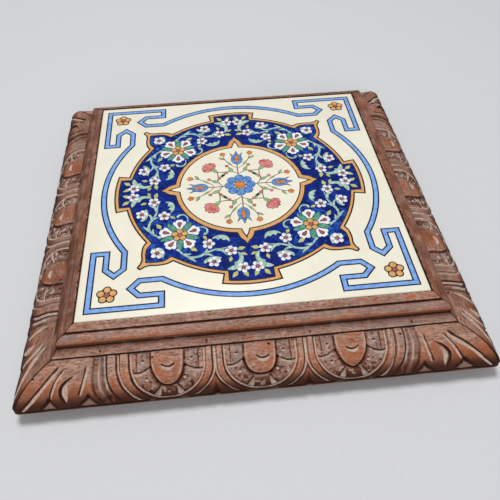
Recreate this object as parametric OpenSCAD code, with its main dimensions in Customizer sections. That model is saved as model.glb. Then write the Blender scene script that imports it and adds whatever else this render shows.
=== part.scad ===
// Square tile trivet: a glazed tile in a mitred moulding, on four carved rails with low turned feet.
// The origin is on the table under the middle of the tile, and the front rail lies toward -Y.

/* [Overall] */
// Height of the rails' underside above the table
rail_lift = 8; // [6:0.5:12]

/* [Tile] */
// Width of the square tile
tile_w = 200; // [194:1:203]
// Thickness of the tile
tile_t = 8; // [6:0.5:10]
// Thickness of the mastic bed under the tile
bed_t = 1.5; // [1:0.1:2.5]
// Distance from the tile's edge to the edge of its bed
bed_in = 6; // [2:0.5:12]
// Thickness of the board that carries the tile
board_t = 4.5; // [3:0.5:6]
// Clearance round the tile and its board
tile_gap = 0.4; // [0.2:0.1:0.8]

/* [Cap moulding] */
// Rise of the lip above the tile
lip_rise = 0.6; // [0.3:0.1:1.5]
// Width of the lip's flat top
lip_w = 0.5; // [0.3:0.1:1]
// Width of the bevel
bevel_w = 3.8; // [3:0.1:4.6]
// Fall of the bevel
bevel_drop = 2.3; // [1.5:0.1:3]
// Step from the bevel down to the ovolo
quirk_d = 0.7; // [0.3:0.1:1.2]
// Width of the ovolo from the quirk to its nose
ovolo_w = 5.6; // [5:0.1:6.4]
// Height of the ovolo from its nose to the quirk
ovolo_h = 4.1; // [3.6:0.1:4.8]
// Reach of the sloping fillet beyond the ovolo's nose
fillet_w = 3.9; // [3:0.1:5]
// Reach of the sloping fillet in under the ovolo's nose
fillet_in = 0.8; // [0.5:0.1:1.2]
// Rise of the sloping fillet
fillet_rise = 4.3; // [3.4:0.1:4.8]
// Thickness of the fillet's outer edge above the rail
fillet_edge = 0.7; // [0.4:0.1:1.2]

/* [Rails] */
// Height of a rail from its underside to the top of its carved face
rail_h = 16.8; // [15.8:0.1:18]
// Depth of the rebate that the cap moulding sits in
cap_seat = 0.8; // [0.5:0.1:1.2]
// Height of the plain band under the carved face
listel_h = 3; // [2:0.1:4]
// Width of the carved face, seen from above
face_w = 21.7; // [19:0.1:26]
// Width of the shelf inside the tile's edge
shelf_w = 12; // [11:0.5:14]

/* [Carving] */
// Width of one shield with its bands
egg_w = 51; // [49:0.5:54]
// Number of shields along a rail
egg_count = 3; // [1:2:3]
// Width of the cut grooves
groove_w = 1; // [0.7:0.1:1.4]
// Depth of the grooves and leaf pockets
groove_d = 1.3; // [0.8:0.1:1.8]
// Depth of the flutes, crescents and notches
hollow_d = 2.1; // [1.4:0.1:2.6]
// Radius of the punched dots in the leaves
dot_r = 0.8; // [0.5:0.1:1.1]

/* [Base panel] */
// Thickness of the panel
panel_t = 5; // [4:0.5:6]
// Distance that the panel is set up into the frame
panel_recess = 2; // [1:0.5:2.5]
// Width of the rebate that holds the panel's edge
panel_seat = 7; // [6.5:0.1:8]
// Clearance round the panel
panel_gap = 0.3; // [0.2:0.1:0.6]

/* [Corner joints] */
// Length of a mitre spline along the mitre
spline_l = 20; // [16:1:22]
// Width of a mitre spline across the mitre
spline_w = 14; // [10:1:16]
// Thickness of a mitre spline
spline_t = 2.5; // [2:0.5:3]
// Height of a mitre spline's middle above the base panel
spline_rise = 3; // [2:0.5:3.5]
// Clearance round the splines in their slots
spline_gap = 0.1; // [0.05:0.05:0.2]
// Leg of a triangular corner block
block_w = 36; // [34:1:44]
// Width of a corner block's blunt ends
block_end = 5; // [3:0.5:8]
// Clearance between a corner block and the board above it
block_gap = 0.5; // [0.3:0.1:1]

/* [Feet] */
// Diameter of a foot
foot_d = 26; // [22:1:30]
// Radius of the bead round a foot
foot_bead_r = 6.5; // [5.6:0.1:8]
// Distance from the rails' inner faces to the middle of a foot
foot_in = 12; // [11:0.5:13]
// Diameter of a foot's tenon
tenon_d = 8; // [6:0.5:10]
// Length of the tenon in the corner block
tenon_l = 6; // [4:0.5:7]
// Clearance round the tenon and above it
tenon_gap = 0.1; // [0.05:0.05:0.2]

/* [Fasteners] */
// Shank diameter of a base screw
screw_d = 3; // [2.4:0.1:3.4]
// Head diameter of a base screw
screw_head_d = 6; // [5:0.1:6.4]
// Length of a base screw
screw_l = 12; // [9:0.5:12.5]
// Width of the slot in a screw's head
slot_w = 0.8; // [0.5:0.1:1]
// Depth of the slot in a screw's head
slot_d = 0.7; // [0.4:0.1:1]
// Clearance round a screw's shank
screw_gap = 0.1; // [0.05:0.05:0.3]
// Distance from the tile's corner to the last screw of a side
screw_end = 45; // [40:1:60]
// Screws along a side
screw_count = 3; // [2:1:4]
// Diameter of a brad
brad_d = 1.4; // [1:0.1:1.8]
// Length of a brad
brad_l = 14; // [8:0.5:15]
// Distance that a brad is punched below the surface
brad_set = 0.4; // [0.2:0.1:0.8]
// Distance from the fillet's outer edge to a brad
brad_in = 2; // [1.5:0.1:3]
// Distance from the tile's corner to the last brad of a side
brad_end = 13; // [10:1:30]
// Brads along a side
brad_count = 4; // [2:1:4]

/* [Hidden] */

// Overrun of the cuts past the faces that they open
over = 1.5;
// Clearance between the cap moulding and the wall of its rebate
cap_gap = 0.1;
round_fn = 96;
small_fn = 32;
tile_half = tile_w / 2;

// Heights above the table
rail_top = rail_lift + rail_h;
shelf_z = rail_top - cap_seat;
bed_z = shelf_z + board_t;
tile_z = bed_z + bed_t;
tile_top = tile_z + tile_t;
lip_z = tile_top + lip_rise;
panel_z = rail_lift + panel_recess;
panel_top = panel_z + panel_t;
spline_z = panel_top + spline_rise;
block_top = shelf_z - block_gap;

// Distances outward from the tile's edge
bevel_u = tile_gap + lip_w + bevel_w;
nose_u = bevel_u + ovolo_w;
edge_u = nose_u + fillet_w;
face_u = edge_u + cap_gap;
out_u = face_u + face_w;
seat_u = panel_seat - shelf_w;
screw_u = (seat_u - shelf_w) / 2;
brad_u = edge_u - brad_in;
spline_u = (out_u - shelf_w) / 2;
frame_w = tile_w + 2 * out_u;

// Ovolo of the cap moulding
bevel_z = lip_z - bevel_drop;
nose_z = bevel_z - quirk_d - ovolo_h;
ovolo_r = (ovolo_w * ovolo_w + ovolo_h * ovolo_h) / (2 * ovolo_w);
edge_z = rail_top + fillet_edge;
fillet_slope_share = fillet_rise / (fillet_w + fillet_in);
brad_top = edge_z + brad_in * fillet_slope_share - brad_set;

// Carved face: an arc that starts level at the cap moulding and ends at the plain band
face_drop = rail_h - listel_h;
face_r = (face_w * face_w + face_drop * face_drop) / (2 * face_drop);
face_turn = 90 - asin((face_r - face_drop) / face_r);
face_l = face_r * face_turn * PI / 180;

// Ends of a rail beyond its shields
bay_x = egg_count * egg_w / 2;
bay_w = frame_w / 2 - bay_x;

// Places of the feet, the corner blocks and the splines from the middle of the tile
foot_xy = tile_half - shelf_w - foot_in;
block_xy = tile_half - shelf_w;
spline_xy = tile_half + spline_u;
foot_core = foot_d / 2 - foot_bead_r;

// The carving's outlines are shares of a shield's width, or of the end bay's, and of the face's length
carve_start_share = -0.05;
carve_end_share = 1.1;
shield_turn_share = 0.33;
shield_low_share = 0.985;
band_turn_share = 0.44;
band_low_share = 1.13;
curve_steps = 7;
shield_groove_share = 0.398;
band_groove_share = 0.5;
upper_leaf_shares = [
  [0.19, 0.07], [0.31, 0.07], [0.312, 0.28], [0.34, 0.31], [0.3, 0.365], [0.25, 0.365], [0.2, 0.31]
];
lower_leaf_shares = [
  [0.2, 0.45], [0.24, 0.425], [0.3, 0.41], [0.325, 0.38], [0.318, 0.5], [0.29, 0.63],
  [0.24, 0.75], [0.17, 0.85], [0.13, 0.78], [0.165, 0.68], [0.188, 0.57]
];
bottom_leaf_shares = [
  [0, 0.755], [0.05, 0.79], [0.1, 0.83], [0.13, 0.88], [0.07, 0.925], [0, 0.94],
  [-0.07, 0.925], [-0.13, 0.88], [-0.1, 0.83], [-0.05, 0.79]
];
crescent_shares = [
  [-0.075, 0.22], [-0.06, 0.29], [-0.03, 0.33], [0, 0.34], [0.03, 0.33], [0.06, 0.29],
  [0.075, 0.22], [0.062, 0.35], [0.03, 0.42], [0, 0.46], [-0.03, 0.42], [-0.062, 0.35]
];
leaf_dot_shares = [[0.255, 0.2], [0.225, 0.58], [0, 0.85], [-0.225, 0.58], [-0.255, 0.2]];
dart_notch_shares = [[0, 0.77], [0.05, 1.1], [-0.05, 1.1]];
dart_open_share = 0.55;

// Outlines of the end bay, as shares of its width and of the face's length
flute_shares = [
  [0.138, -0.05], [0.24, -0.05], [0.25, 0.3], [0.252, 0.5], [0.235, 0.67], [0.205, 0.82],
  [0.168, 0.92], [0.14, 0.93], [0.1, 0.73], [0.128, 0.5]
];
first_cut_shares = [[0.295, 0.11], [0.335, 0.3], [0.362, 0.55], [0.373, 0.76], [0.345, 0.55], [0.315, 0.3]];
lobe_hollow_shares = [
  [0.395, 0.32], [0.46, 0.4], [0.515, 0.5], [0.538, 0.62], [0.535, 0.74], [0.512, 0.84],
  [0.482, 0.9], [0.468, 0.8], [0.463, 0.66], [0.455, 0.52], [0.432, 0.41]
];
second_cut_shares = [[0.48, 0.15], [0.54, 0.3], [0.596, 0.5], [0.635, 0.78], [0.575, 0.52], [0.52, 0.32]];
long_cut_shares = [
  [0.53, 0.15], [0.635, 0.325], [0.73, 0.52], [0.802, 0.71], [0.91, 1.02],
  [0.886, 1.02], [0.758, 0.71], [0.672, 0.52], [0.588, 0.34]
];
edge_groove_shares = [
  [0.013, -0.05], [0.033, -0.05], [0.033, 0.45], [0.02, 0.6], [-0.02, 0.74], [-0.075, 0.87], [-0.19, 1.1],
  [-0.21, 1.1], [-0.095, 0.87], [-0.04, 0.74], [0, 0.6], [0.013, 0.45]
];
first_notch_shares = [[0.31, 0.765], [0.41, 1.1], [0.2, 1.1]];
second_notch_shares = [[0.664, 0.775], [0.74, 1.1], [0.6, 1.1]];

// Height on the carving's drawing plane of a place that lies s along the face
function face_y(s) = face_r * sin(face_turn / 2 - s / face_r * 180 / PI);

// Place on the drawing plane of a point of a shield whose middle is at x
function on_shield(x, p) = [x + p[0] * egg_w, face_y(p[1] * face_l)];

// Place on the drawing plane of a point of an end bay
function on_bay(p) = [bay_x + p[0] * bay_w, face_y(p[1] * face_l)];

// Half width, as a share, of a round-ended line that turns in below one share and closes at another
function round_end(w, turn, low, s) = s < turn ? w : w * sqrt(max(0, 1 - pow((s - turn) / (low - turn), 2)));

// Line of a round end from its left top to its right top, as points on the drawing plane
function round_line(x, w, turn, low, start) = concat(
  [[x - w, face_y(start * face_l)]],
  [for (i = [0 : 2 * curve_steps])
    [x - w * cos(i * 90 / curve_steps), face_y((turn + (low - turn) * sin(i * 90 / curve_steps)) * face_l)]],
  [[x + w, face_y(start * face_l)]]
);

function reversed(list) = [for (i = [len(list) - 1 : -1 : 0]) list[i]];

// One side of the forked groove between two shields, offset by side from its middle line
function fork_side(x, side, offset) = [
  for (i = [0 : curve_steps])
    let (s = band_turn_share + (carve_end_share - band_turn_share) * i / curve_steps)
    let (gone = band_groove_share - round_end(band_groove_share, band_turn_share, band_low_share, s))
    [x + side * max(0, gone * egg_w + offset), face_y(s * face_l)]
];

// Bar of one section along the front side
module run(length) {
  translate([0, -tile_half, 0])
    rotate([90, 0, -90])
    linear_extrude(height = length, center = true)
    children();
}

// Plan of one side between its two mitres, from inner to outer distance from the middle
module between_mitres(inner, outer, bottom, top) {
  translate([0, 0, bottom])
    linear_extrude(height = top - bottom)
    polygon([[-outer, -outer], [outer, -outer], [inner, -inner], [-inner, -inner]]);
}

module tile() {
  color("ivory")
    translate([-tile_half, -tile_half, tile_z])
    cube([tile_w, tile_w, tile_t]);
}

module tile_bed() {
  bed_w = tile_w - 2 * bed_in;
  color("gainsboro")
    translate([-bed_w / 2, -bed_w / 2, bed_z])
    cube([bed_w, bed_w, bed_t]);
}

module tile_board() {
  color("burlywood")
    translate([-tile_half, -tile_half, shelf_z])
    cube([tile_w, tile_w, board_t]);
}

// Section of the cap moulding: lip, bevel, ovolo and sloping fillet
module cap_section() {
  polygon([
    [tile_gap, shelf_z],
    [edge_u, shelf_z],
    [edge_u, edge_z],
    [nose_u - fillet_in, edge_z + fillet_rise],
    [nose_u - fillet_in, nose_z],
    [bevel_u, nose_z],
    [bevel_u, bevel_z],
    [tile_gap + lip_w, lip_z],
    [tile_gap, lip_z]
  ]);
  translate([nose_u - ovolo_r, nose_z]) circle(r = ovolo_r, $fn = round_fn);
}

// Places along a side, evenly spaced between two at one distance from the tile's corners
function spaced(count, end) = [for (i = [0 : count - 1]) (tile_half - end) * (2 * i / (count - 1) - 1)];

// Holes for the brads of one side, or the brads themselves
module brad_row() {
  for (x = spaced(brad_count, brad_end))
    translate([x, -tile_half - brad_u, brad_top - brad_l])
    children();
}

module cap(side) {
  color("saddlebrown")
    rotate([0, 0, 90 * side])
    difference() {
      intersection() {
        run(frame_w) cap_section();
        between_mitres(tile_half, tile_half + edge_u + over, shelf_z - over, lip_z + over);
      }
      brad_row() cylinder(d = brad_d, h = brad_l + 2 * over, $fn = small_fn);
    }
}

// Section of a rail before it is carved
module rail_section() {
  difference() {
    polygon([
      [-shelf_w, shelf_z],
      [face_u, shelf_z],
      [face_u, rail_top + over],
      [out_u, rail_top + over],
      [out_u, rail_lift],
      [seat_u, rail_lift],
      [seat_u, panel_top],
      [-shelf_w, panel_top]
    ]);
    difference() {
      translate([face_u, rail_top - face_r]) square(face_r + 2 * over);
      translate([face_u, rail_top - face_r]) circle(r = face_r, $fn = round_fn);
    }
  }
}

// The skin of the carved face, down to one depth
module face_skin(depth) {
  run(frame_w)
    translate([face_u, rail_top - face_r])
    difference() {
      square(face_r + over);
      circle(r = face_r - depth, $fn = round_fn);
    }
}

// Outlines on the drawing plane, cut square to the chord of the face and down to one depth
module carve(depth) {
  intersection() {
    face_skin(depth);
    translate([0, -tile_half - face_u, rail_top - face_r])
      rotate([face_turn / 2, 0, 0])
      linear_extrude(height = face_r + over)
      children();
  }
}

module mirrored_pair() {
  children();
  mirror([1, 0]) children();
}

// Places of the shields' middles
egg_places = [for (i = [0 : egg_count - 1]) (i - (egg_count - 1) / 2) * egg_w];

// Leaf pockets between a shield's tongue and its inner band
module leaf_pockets(x) {
  for (side = [-1, 1]) {
    polygon([for (p = upper_leaf_shares) on_shield(x, [side * p[0], p[1]])]);
    polygon([for (p = lower_leaf_shares) on_shield(x, [side * p[0], p[1]])]);
  }
  polygon([for (p = bottom_leaf_shares) on_shield(x, p)]);
}

// Round-ended groove between a shield's two bands
module shield_groove(x) {
  w = shield_groove_share * egg_w;
  half = groove_w / 2;
  outer = round_line(x, w + half, shield_turn_share, shield_low_share, carve_start_share);
  inner = round_line(x, w - half, shield_turn_share, shield_low_share - groove_w / face_l, carve_start_share);
  polygon(concat(outer, reversed(inner)));
}

// Forked groove between two shields, with the open dart below its fork
module dart_groove(x) {
  half = groove_w / 2;
  start_y = face_y(carve_start_share * face_l);
  fork_y = face_y(dart_open_share * face_l);
  right_in = [for (p = fork_side(x, 1, -half)) if (p[1] < fork_y) p];
  left_in = [for (p = fork_side(x, -1, -half)) if (p[1] < fork_y) p];
  polygon(concat(
    [[x - half, start_y], [x + half, start_y]],
    fork_side(x, 1, half),
    reversed(right_in),
    [[x, fork_y]],
    left_in,
    reversed(fork_side(x, -1, half))
  ));
}

module shallow_cuts() {
  for (x = egg_places) {
    leaf_pockets(x);
    shield_groove(x);
  }
  if (egg_count > 1) {
    for (i = [1 : egg_count - 1]) {
      dart_groove((i - egg_count / 2) * egg_w);
    }
  }
  mirrored_pair() polygon([for (p = edge_groove_shares) on_bay(p)]);
}

module deep_cuts() {
  for (x = egg_places) {
    polygon([for (p = crescent_shares) on_shield(x, p)]);
    for (p = leaf_dot_shares) translate(on_shield(x, p)) circle(r = dot_r, $fn = small_fn);
  }
  if (egg_count > 1) {
    for (i = [1 : egg_count - 1]) {
      polygon([for (p = dart_notch_shares) on_shield((i - egg_count / 2) * egg_w, p)]);
    }
  }
  mirrored_pair() {
    polygon([for (p = flute_shares) on_bay(p)]);
    polygon([for (p = first_cut_shares) on_bay(p)]);
    polygon([for (p = lobe_hollow_shares) on_bay(p)]);
    polygon([for (p = second_cut_shares) on_bay(p)]);
    polygon([for (p = long_cut_shares) on_bay(p)]);
    polygon([for (p = first_notch_shares) on_bay(p)]);
    polygon([for (p = second_notch_shares) on_bay(p)]);
  }
}

// Screws of one side, or the holes for them
module screw_row() {
  for (x = spaced(screw_count, screw_end))
    translate([x, -tile_half - screw_u, panel_z])
    children();
}

// A mitre spline at the front left corner, or its slot
module spline_blank(gap) {
  translate([-spline_xy, -spline_xy, spline_z])
    rotate([0, 0, 45])
    cube([spline_l + 2 * gap, spline_w + 2 * gap, spline_t + 2 * gap], center = true);
}

module rail(side) {
  color("sienna")
    rotate([0, 0, 90 * side])
    difference() {
      intersection() {
        run(frame_w) rail_section();
        between_mitres(block_xy - over, tile_half + out_u + over, rail_lift - over, rail_top + over);
      }
      carve(groove_d) shallow_cuts();
      carve(hollow_d) deep_cuts();
      spline_blank(spline_gap);
      rotate([0, 0, 90]) spline_blank(spline_gap);
      screw_row() cylinder(d = screw_d, h = screw_l + screw_gap, $fn = small_fn);
      brad_row() cylinder(d = brad_d, h = brad_l + 2 * over, $fn = small_fn);
    }
}

module mitre_spline(corner) {
  color("tan")
    rotate([0, 0, 90 * corner])
    spline_blank(0);
}

// Triangular glue block in an inside corner, bored for the foot's tenon
module corner_block(corner) {
  color("peru")
    rotate([0, 0, 90 * corner])
    difference() {
      translate([-block_xy, -block_xy, panel_top])
        linear_extrude(height = block_top - panel_top)
        polygon([[0, 0], [block_w, 0], [block_w, block_end], [block_end, block_w], [0, block_w]]);
      translate([-foot_xy, -foot_xy, panel_top - over])
        cylinder(d = tenon_d + 2 * tenon_gap, h = tenon_l + tenon_gap + over, $fn = round_fn);
    }
}

module screw_sink(gap) {
  translate([0, 0, -over])
    cylinder(d = screw_head_d + 2 * gap, h = over, $fn = small_fn);
  cylinder(d1 = screw_head_d + 2 * gap, d2 = screw_d + 2 * gap, h = (screw_head_d - screw_d) / 2, $fn = small_fn);
  cylinder(d = screw_d + 2 * gap, h = panel_t + over, $fn = small_fn);
}

module base_panel() {
  half = tile_half + seat_u - panel_gap;
  color("burlywood")
    difference() {
      translate([-half, -half, panel_z]) cube([2 * half, 2 * half, panel_t]);
      for (k = [0 : 3]) {
        rotate([0, 0, 90 * k]) {
          screw_row() screw_sink(screw_gap);
          translate([-foot_xy, -foot_xy, panel_z - over])
            cylinder(d = tenon_d + 2 * tenon_gap, h = panel_t + 2 * over, $fn = round_fn);
        }
      }
    }
}

// Turned foot: a flattened bead on a core, with a tenon
module foot(corner) {
  color("saddlebrown")
    rotate([0, 0, 90 * corner])
    translate([-foot_xy, -foot_xy, 0])
    union() {
      rotate_extrude($fn = round_fn)
        intersection() {
          union() {
            translate([foot_core, panel_z / 2]) circle(r = foot_bead_r, $fn = round_fn);
            square([foot_core, panel_z]);
          }
          square([foot_d, panel_z]);
        }
      cylinder(d = tenon_d, h = panel_top + tenon_l, $fn = round_fn);
    }
}

module base_screw() {
  difference() {
    union() {
      cylinder(d1 = screw_head_d, d2 = screw_d, h = (screw_head_d - screw_d) / 2, $fn = small_fn);
      cylinder(d = screw_d, h = screw_l, $fn = small_fn);
    }
    translate([-screw_head_d / 2 - over, -slot_w / 2, -over])
      cube([screw_head_d + 2 * over, slot_w, slot_d + over]);
  }
}

module base_screws() {
  color("darkgoldenrod")
    for (k = [0 : 3])
      rotate([0, 0, 90 * k]) screw_row() base_screw();
}

module cap_brads() {
  color("dimgray")
    for (k = [0 : 3])
      rotate([0, 0, 90 * k]) brad_row() cylinder(d = brad_d, h = brad_l, $fn = small_fn);
}

tile();
tile_bed();
tile_board();
cap(0);  // cap_front
cap(1);  // cap_right
cap(2);  // cap_back
cap(3);  // cap_left
rail(0);  // rail_front
rail(1);  // rail_right
rail(2);  // rail_back
rail(3);  // rail_left
mitre_spline(0);  // mitre_spline_front_left
mitre_spline(1);  // mitre_spline_front_right
mitre_spline(2);  // mitre_spline_back_right
mitre_spline(3);  // mitre_spline_back_left
corner_block(0);  // corner_block_front_left
corner_block(1);  // corner_block_front_right
corner_block(2);  // corner_block_back_right
corner_block(3);  // corner_block_back_left
base_panel();
foot(0);  // foot_front_left
foot(1);  // foot_front_right
foot(2);  // foot_back_right
foot(3);  // foot_back_left
base_screws();
cap_brads();
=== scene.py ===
"""A tile trivet: a glazed tile in a plain moulding, inside four carved rails."""

import math
from functools import reduce

import bmesh
import bpy
import numpy as np
from mathutils import Matrix, Vector


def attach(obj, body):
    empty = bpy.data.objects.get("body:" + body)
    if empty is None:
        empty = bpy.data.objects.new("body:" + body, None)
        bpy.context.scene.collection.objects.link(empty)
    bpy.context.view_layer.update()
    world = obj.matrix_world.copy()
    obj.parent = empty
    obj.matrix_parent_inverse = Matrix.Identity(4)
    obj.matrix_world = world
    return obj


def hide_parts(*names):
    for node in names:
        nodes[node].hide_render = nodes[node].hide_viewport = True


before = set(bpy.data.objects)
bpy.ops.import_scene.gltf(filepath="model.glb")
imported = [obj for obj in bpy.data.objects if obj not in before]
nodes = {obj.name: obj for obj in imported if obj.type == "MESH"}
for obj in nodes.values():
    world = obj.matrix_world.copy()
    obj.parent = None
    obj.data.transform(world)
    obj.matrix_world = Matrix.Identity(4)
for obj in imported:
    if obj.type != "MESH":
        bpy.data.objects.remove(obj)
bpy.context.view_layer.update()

MM = 0.001
SIDES = ("front", "right", "back", "left")
MIDDLE = (0, 0)
TILE_HALF, TILE_LOW, TILE_TOP, TILE_ARRIS = 100.0, 30.0, 38.0, 0.9
FAR = 99.0

# Colours as they look on a screen, 0 to 255
# The wood's grey is partly painted sheen, on faces turned up to the light
WOOD_PORE, WOOD_WARM, WOOD_GREY_AND_SHEEN = (52, 26, 18), (176, 94, 48), (144, 122, 116)
# Painted shade mixed with grime, a half shade and a deep shade, for hollows, grooves and undersides; then pale dust
# with painted light on lit floors and flanks, and wear with a painted highlight on crests
SHADE_AND_STAIN, CREVICE_SHADE_AND_GRIME, PALE_DUST_AND_LIGHT, CREST_WEAR_AND_HIGHLIGHT = (102, 54, 32), (40, 12, 4), (206, 184, 170), (224, 188, 168)
COBALT, COBALT_WASH, SPECK, STUDIO = (12, 38, 134), (40, 94, 186), (120, 92, 66), (214, 215, 218)
# The tile's glazes: colour, colour where it pools, and how fine the pools are
GLAZES = {"navy_line": ((16, 22, 46), (18, 20, 40), 300.0), "umber_line": ((44, 24, 16), (48, 28, 22), 300.0),
          "washed_line": (COBALT_WASH, COBALT, 300.0), "cream_glaze": ((248, 243, 225), (243, 237, 217), 45.0),
          "cobalt_glaze": (COBALT, (8, 20, 92), 150.0), "ochre_enamel": ((230, 180, 120), (214, 158, 98), 420.0),
          "white_enamel": ((255, 252, 248), (236, 233, 236), 500.0),
          "rust_enamel": ((186, 112, 106), (146, 76, 72), 600.0),
          "pale_blue_enamel": ((142, 184, 244), (112, 158, 230), 320.0),
          "bark_enamel": ((122, 92, 74), (92, 66, 52), 500.0), "moss_enamel": ((166, 192, 132), (126, 164, 112), 500.0),
          "cornflower_enamel": ((116, 162, 222), (62, 112, 190), 420.0),
          "rose_enamel": ((226, 148, 146), (196, 92, 88), 360.0),
          "amber_enamel": ((226, 150, 76), (196, 112, 52), 420.0),
          "pale_green_enamel": ((200, 222, 198), (134, 180, 150), 420.0),
          "leaf_enamel": ((214, 210, 128), (170, 176, 92), 500.0),
          "green_enamel": ((112, 176, 144), (58, 126, 98), 500.0)}


# Node helpers

def linear(colour):
    """A screen colour as the renderer's own light values."""
    shares = [c / 255 for c in colour]
    return tuple(s / 12.92 if s <= 0.04045 else ((s + 0.055) / 1.055) ** 2.4 for s in shares) + (1.0,)


class Flow:
    """A value in a node tree, so that sums of nodes read like sums."""

    def __init__(self, socket):
        self.socket, self.tree = socket, socket.id_data

    def __add__(self, other):
        return maths("ADD", self, other)

    def __radd__(self, other):
        return maths("ADD", other, self)

    def __sub__(self, other):
        return maths("SUBTRACT", self, other)

    def __rsub__(self, other):
        return maths("SUBTRACT", other, self)

    def __mul__(self, other):
        return maths("MULTIPLY", self, other)

    def clamped(self):
        """The same sum, kept between 0 and 1."""
        self.socket.node.use_clamp = True
        return self

    def stepped(self, low, high):
        """Runs from 0 to 1 as the value goes from low to high."""
        return put(self.tree, "ShaderNodeMapRange", {"Value": self, "From Min": low, "From Max": high},
                   interpolation_type="SMOOTHSTEP")("Result")


def send(node, inputs):
    """Gives a node its inputs: links, numbers, or screen colours."""
    for name, value in inputs.items():
        socket = node.inputs[name]
        if isinstance(value, Flow):
            node.id_data.links.new(value.socket, socket)
        else:
            socket.default_value = linear(value) if socket.type == "RGBA" else value


def put(tree, kind, inputs, **settings):
    """Adds a node, and returns the way to its outputs."""
    made = tree.nodes.new(kind)
    for name, value in settings.items():
        setattr(made, name, value)
    send(made, inputs)
    return lambda output=0: Flow(made.outputs[output])


def maths(operation, first, second):
    """One step of arithmetic."""
    tree = (first if isinstance(first, Flow) else second).tree
    return put(tree, "ShaderNodeMath", {0: first, 1: second}, operation=operation)()


def vector_maths(operation, first, second=(0, 0, 0)):
    return put(first.tree, "ShaderNodeVectorMath", {0: first, 1: second}, operation=operation)


def use(source, inputs):
    """Places a node group."""
    return put(inputs["Vector"].tree, "ShaderNodeGroup", inputs, node_tree=source)


def blended(share, low, high):
    """Two colours, blended by a share."""
    return put(share.tree, "ShaderNodeMix", {0: share, 6: low, 7: high}, data_type="RGBA")(2)


def noise(where, scale, detail=2.0, roughness=0.5, distortion=0.0):
    """Soft random values."""
    return put(where.tree, "ShaderNodeTexNoise", {"Vector": where, "Scale": scale, "Detail": detail,
                                                  "Roughness": roughness, "Distortion": distortion})()


def group(name, inputs, outputs):
    """An empty node group: the way to its inputs, and the node that takes its outputs."""
    tree = bpy.data.node_groups.new(name, "ShaderNodeTree")
    for way, sockets in (("INPUT", inputs), ("OUTPUT", outputs)):
        for label, kind in sockets.items():
            tree.interface.new_socket(label, in_out=way, socket_type="NodeSocket" + kind)
    return put(tree, "NodeGroupInput", {}), tree.nodes.new("NodeGroupOutput")


def wood_figure_group():
    """Streaks along the grain, short dark pores, and broad clouds."""
    given, out = group("wood_figure", {"Vector": "Vector", "Streak Scale": "Float", "Pore Amount": "Float"},
                       {"Figure": "Float", "Pore": "Float", "Cloud": "Float", "Height": "Float"})
    where = given("Vector")
    along = vector_maths("MULTIPLY", where, (0.2, 1, 1))()
    streak = noise(along, given("Streak Scale"), 3.0, 0.6, 0.2).stepped(0.34, 0.66)
    wide = noise(along, 300.0, 2.0, 0.5, 0.8).stepped(0.35, 0.65)
    mottle = noise(where, 520.0, 3.0, 0.7).stepped(0.36, 0.62)
    figure = streak * 0.4 + wide * 0.3 + mottle * 0.3
    pore = noise(along, 1300.0).stepped(0.56, 0.66) * given("Pore Amount")
    cloud = noise(where, 75.0, 3.0, 0.6).stepped(0.32, 0.68)
    send(out, {"Figure": figure, "Pore": pore, "Cloud": cloud, "Height": figure * 0.4 - pore})
    return out.id_data


def wear_grime_and_painted_light_group():
    """Painted shade mixed with grime in hollows, wear with a painted highlight on crests, and pale dust with painted
    light, laid over a wood's colour.
    """
    given, out = group("wear_grime_and_painted_light", {"Color": "Color", "Vector": "Vector", "Hollow": "Float", "Crest": "Float",
                                       "Dust": "Float"}, {"Color": "Color", "Roughness": "Float"})
    patch = noise(given("Vector"), 620.0, 3.0, 0.7).stepped(0.35, 0.6)
    # The hollow input is painted shade with grime: a half shade first, then a deep shade where it is darkest
    shade_and_grime = given("Hollow")
    # Crests are lightened for wear and as a painted highlight
    rubbed = (given("Crest") * patch).clamped()
    worn = blended(rubbed * 0.55, given("Color"), CREST_WEAR_AND_HIGHLIGHT)
    shaded_and_stained = blended(shade_and_grime.stepped(0, 0.6) * 0.9, worn, SHADE_AND_STAIN)
    dark = blended(shade_and_grime.stepped(0.35, 1) * 0.93, shaded_and_stained, CREVICE_SHADE_AND_GRIME)
    # The pale input is dust, and painted light on floors and flanks that face the light
    left = (given("Dust") * (patch * 0.38 + 0.58)).clamped()
    rough = (0.43 + (left * 0.35 + shade_and_grime * 0.3)).clamped() - rubbed * 0.1
    send(out, {"Color": blended(left, dark, PALE_DUST_AND_LIGHT), "Roughness": rough})
    return out.id_data


def fired_glaze_group():
    """A glaze that pools a little, with specks and pinholes."""
    given, out = group("fired_glaze", {"Vector": "Vector", "Color": "Color", "Deep": "Color", "Pool Scale": "Float",
                                       "Specks": "Float"}, {"Color": "Color", "Roughness": "Float", "Height": "Float"})
    where = given("Vector")
    pool = noise(where, given("Pool Scale"), 4.0, 0.6, 0.4)
    pooled = blended(pool.stepped(0.36, 0.66), given("Color"), given("Deep"))
    speck = put(where.tree, "ShaderNodeTexVoronoi", {"Vector": where, "Scale": 130.0, "Randomness": 1.0}, feature="F1")
    chance = put(where.tree, "ShaderNodeTexWhiteNoise", {"Vector": speck("Position")}, noise_dimensions="3D")("Value")
    dot = (1.0 - speck("Distance").stepped(0.02, 0.06)) * maths("GREATER_THAN", chance, 0.93) * given("Specks")
    send(out, {"Color": blended(dot, pooled, SPECK), "Roughness": pool * 0.14 + 0.2,
               "Height": noise(where, 300.0) * 0.5 - dot})
    return out.id_data


WOOD_FIGURE = wood_figure_group()
WEAR_GRIME_AND_PAINTED_LIGHT = wear_grime_and_painted_light_group()
FIRED_GLAZE = fired_glaze_group()


def new_material(name):
    """A material, its tree, and the place on the piece."""
    made = bpy.data.materials.new(name)
    made.use_nodes = True
    return made, made.node_tree, put(made.node_tree, "ShaderNodeTexCoord", {})("Object")


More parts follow.
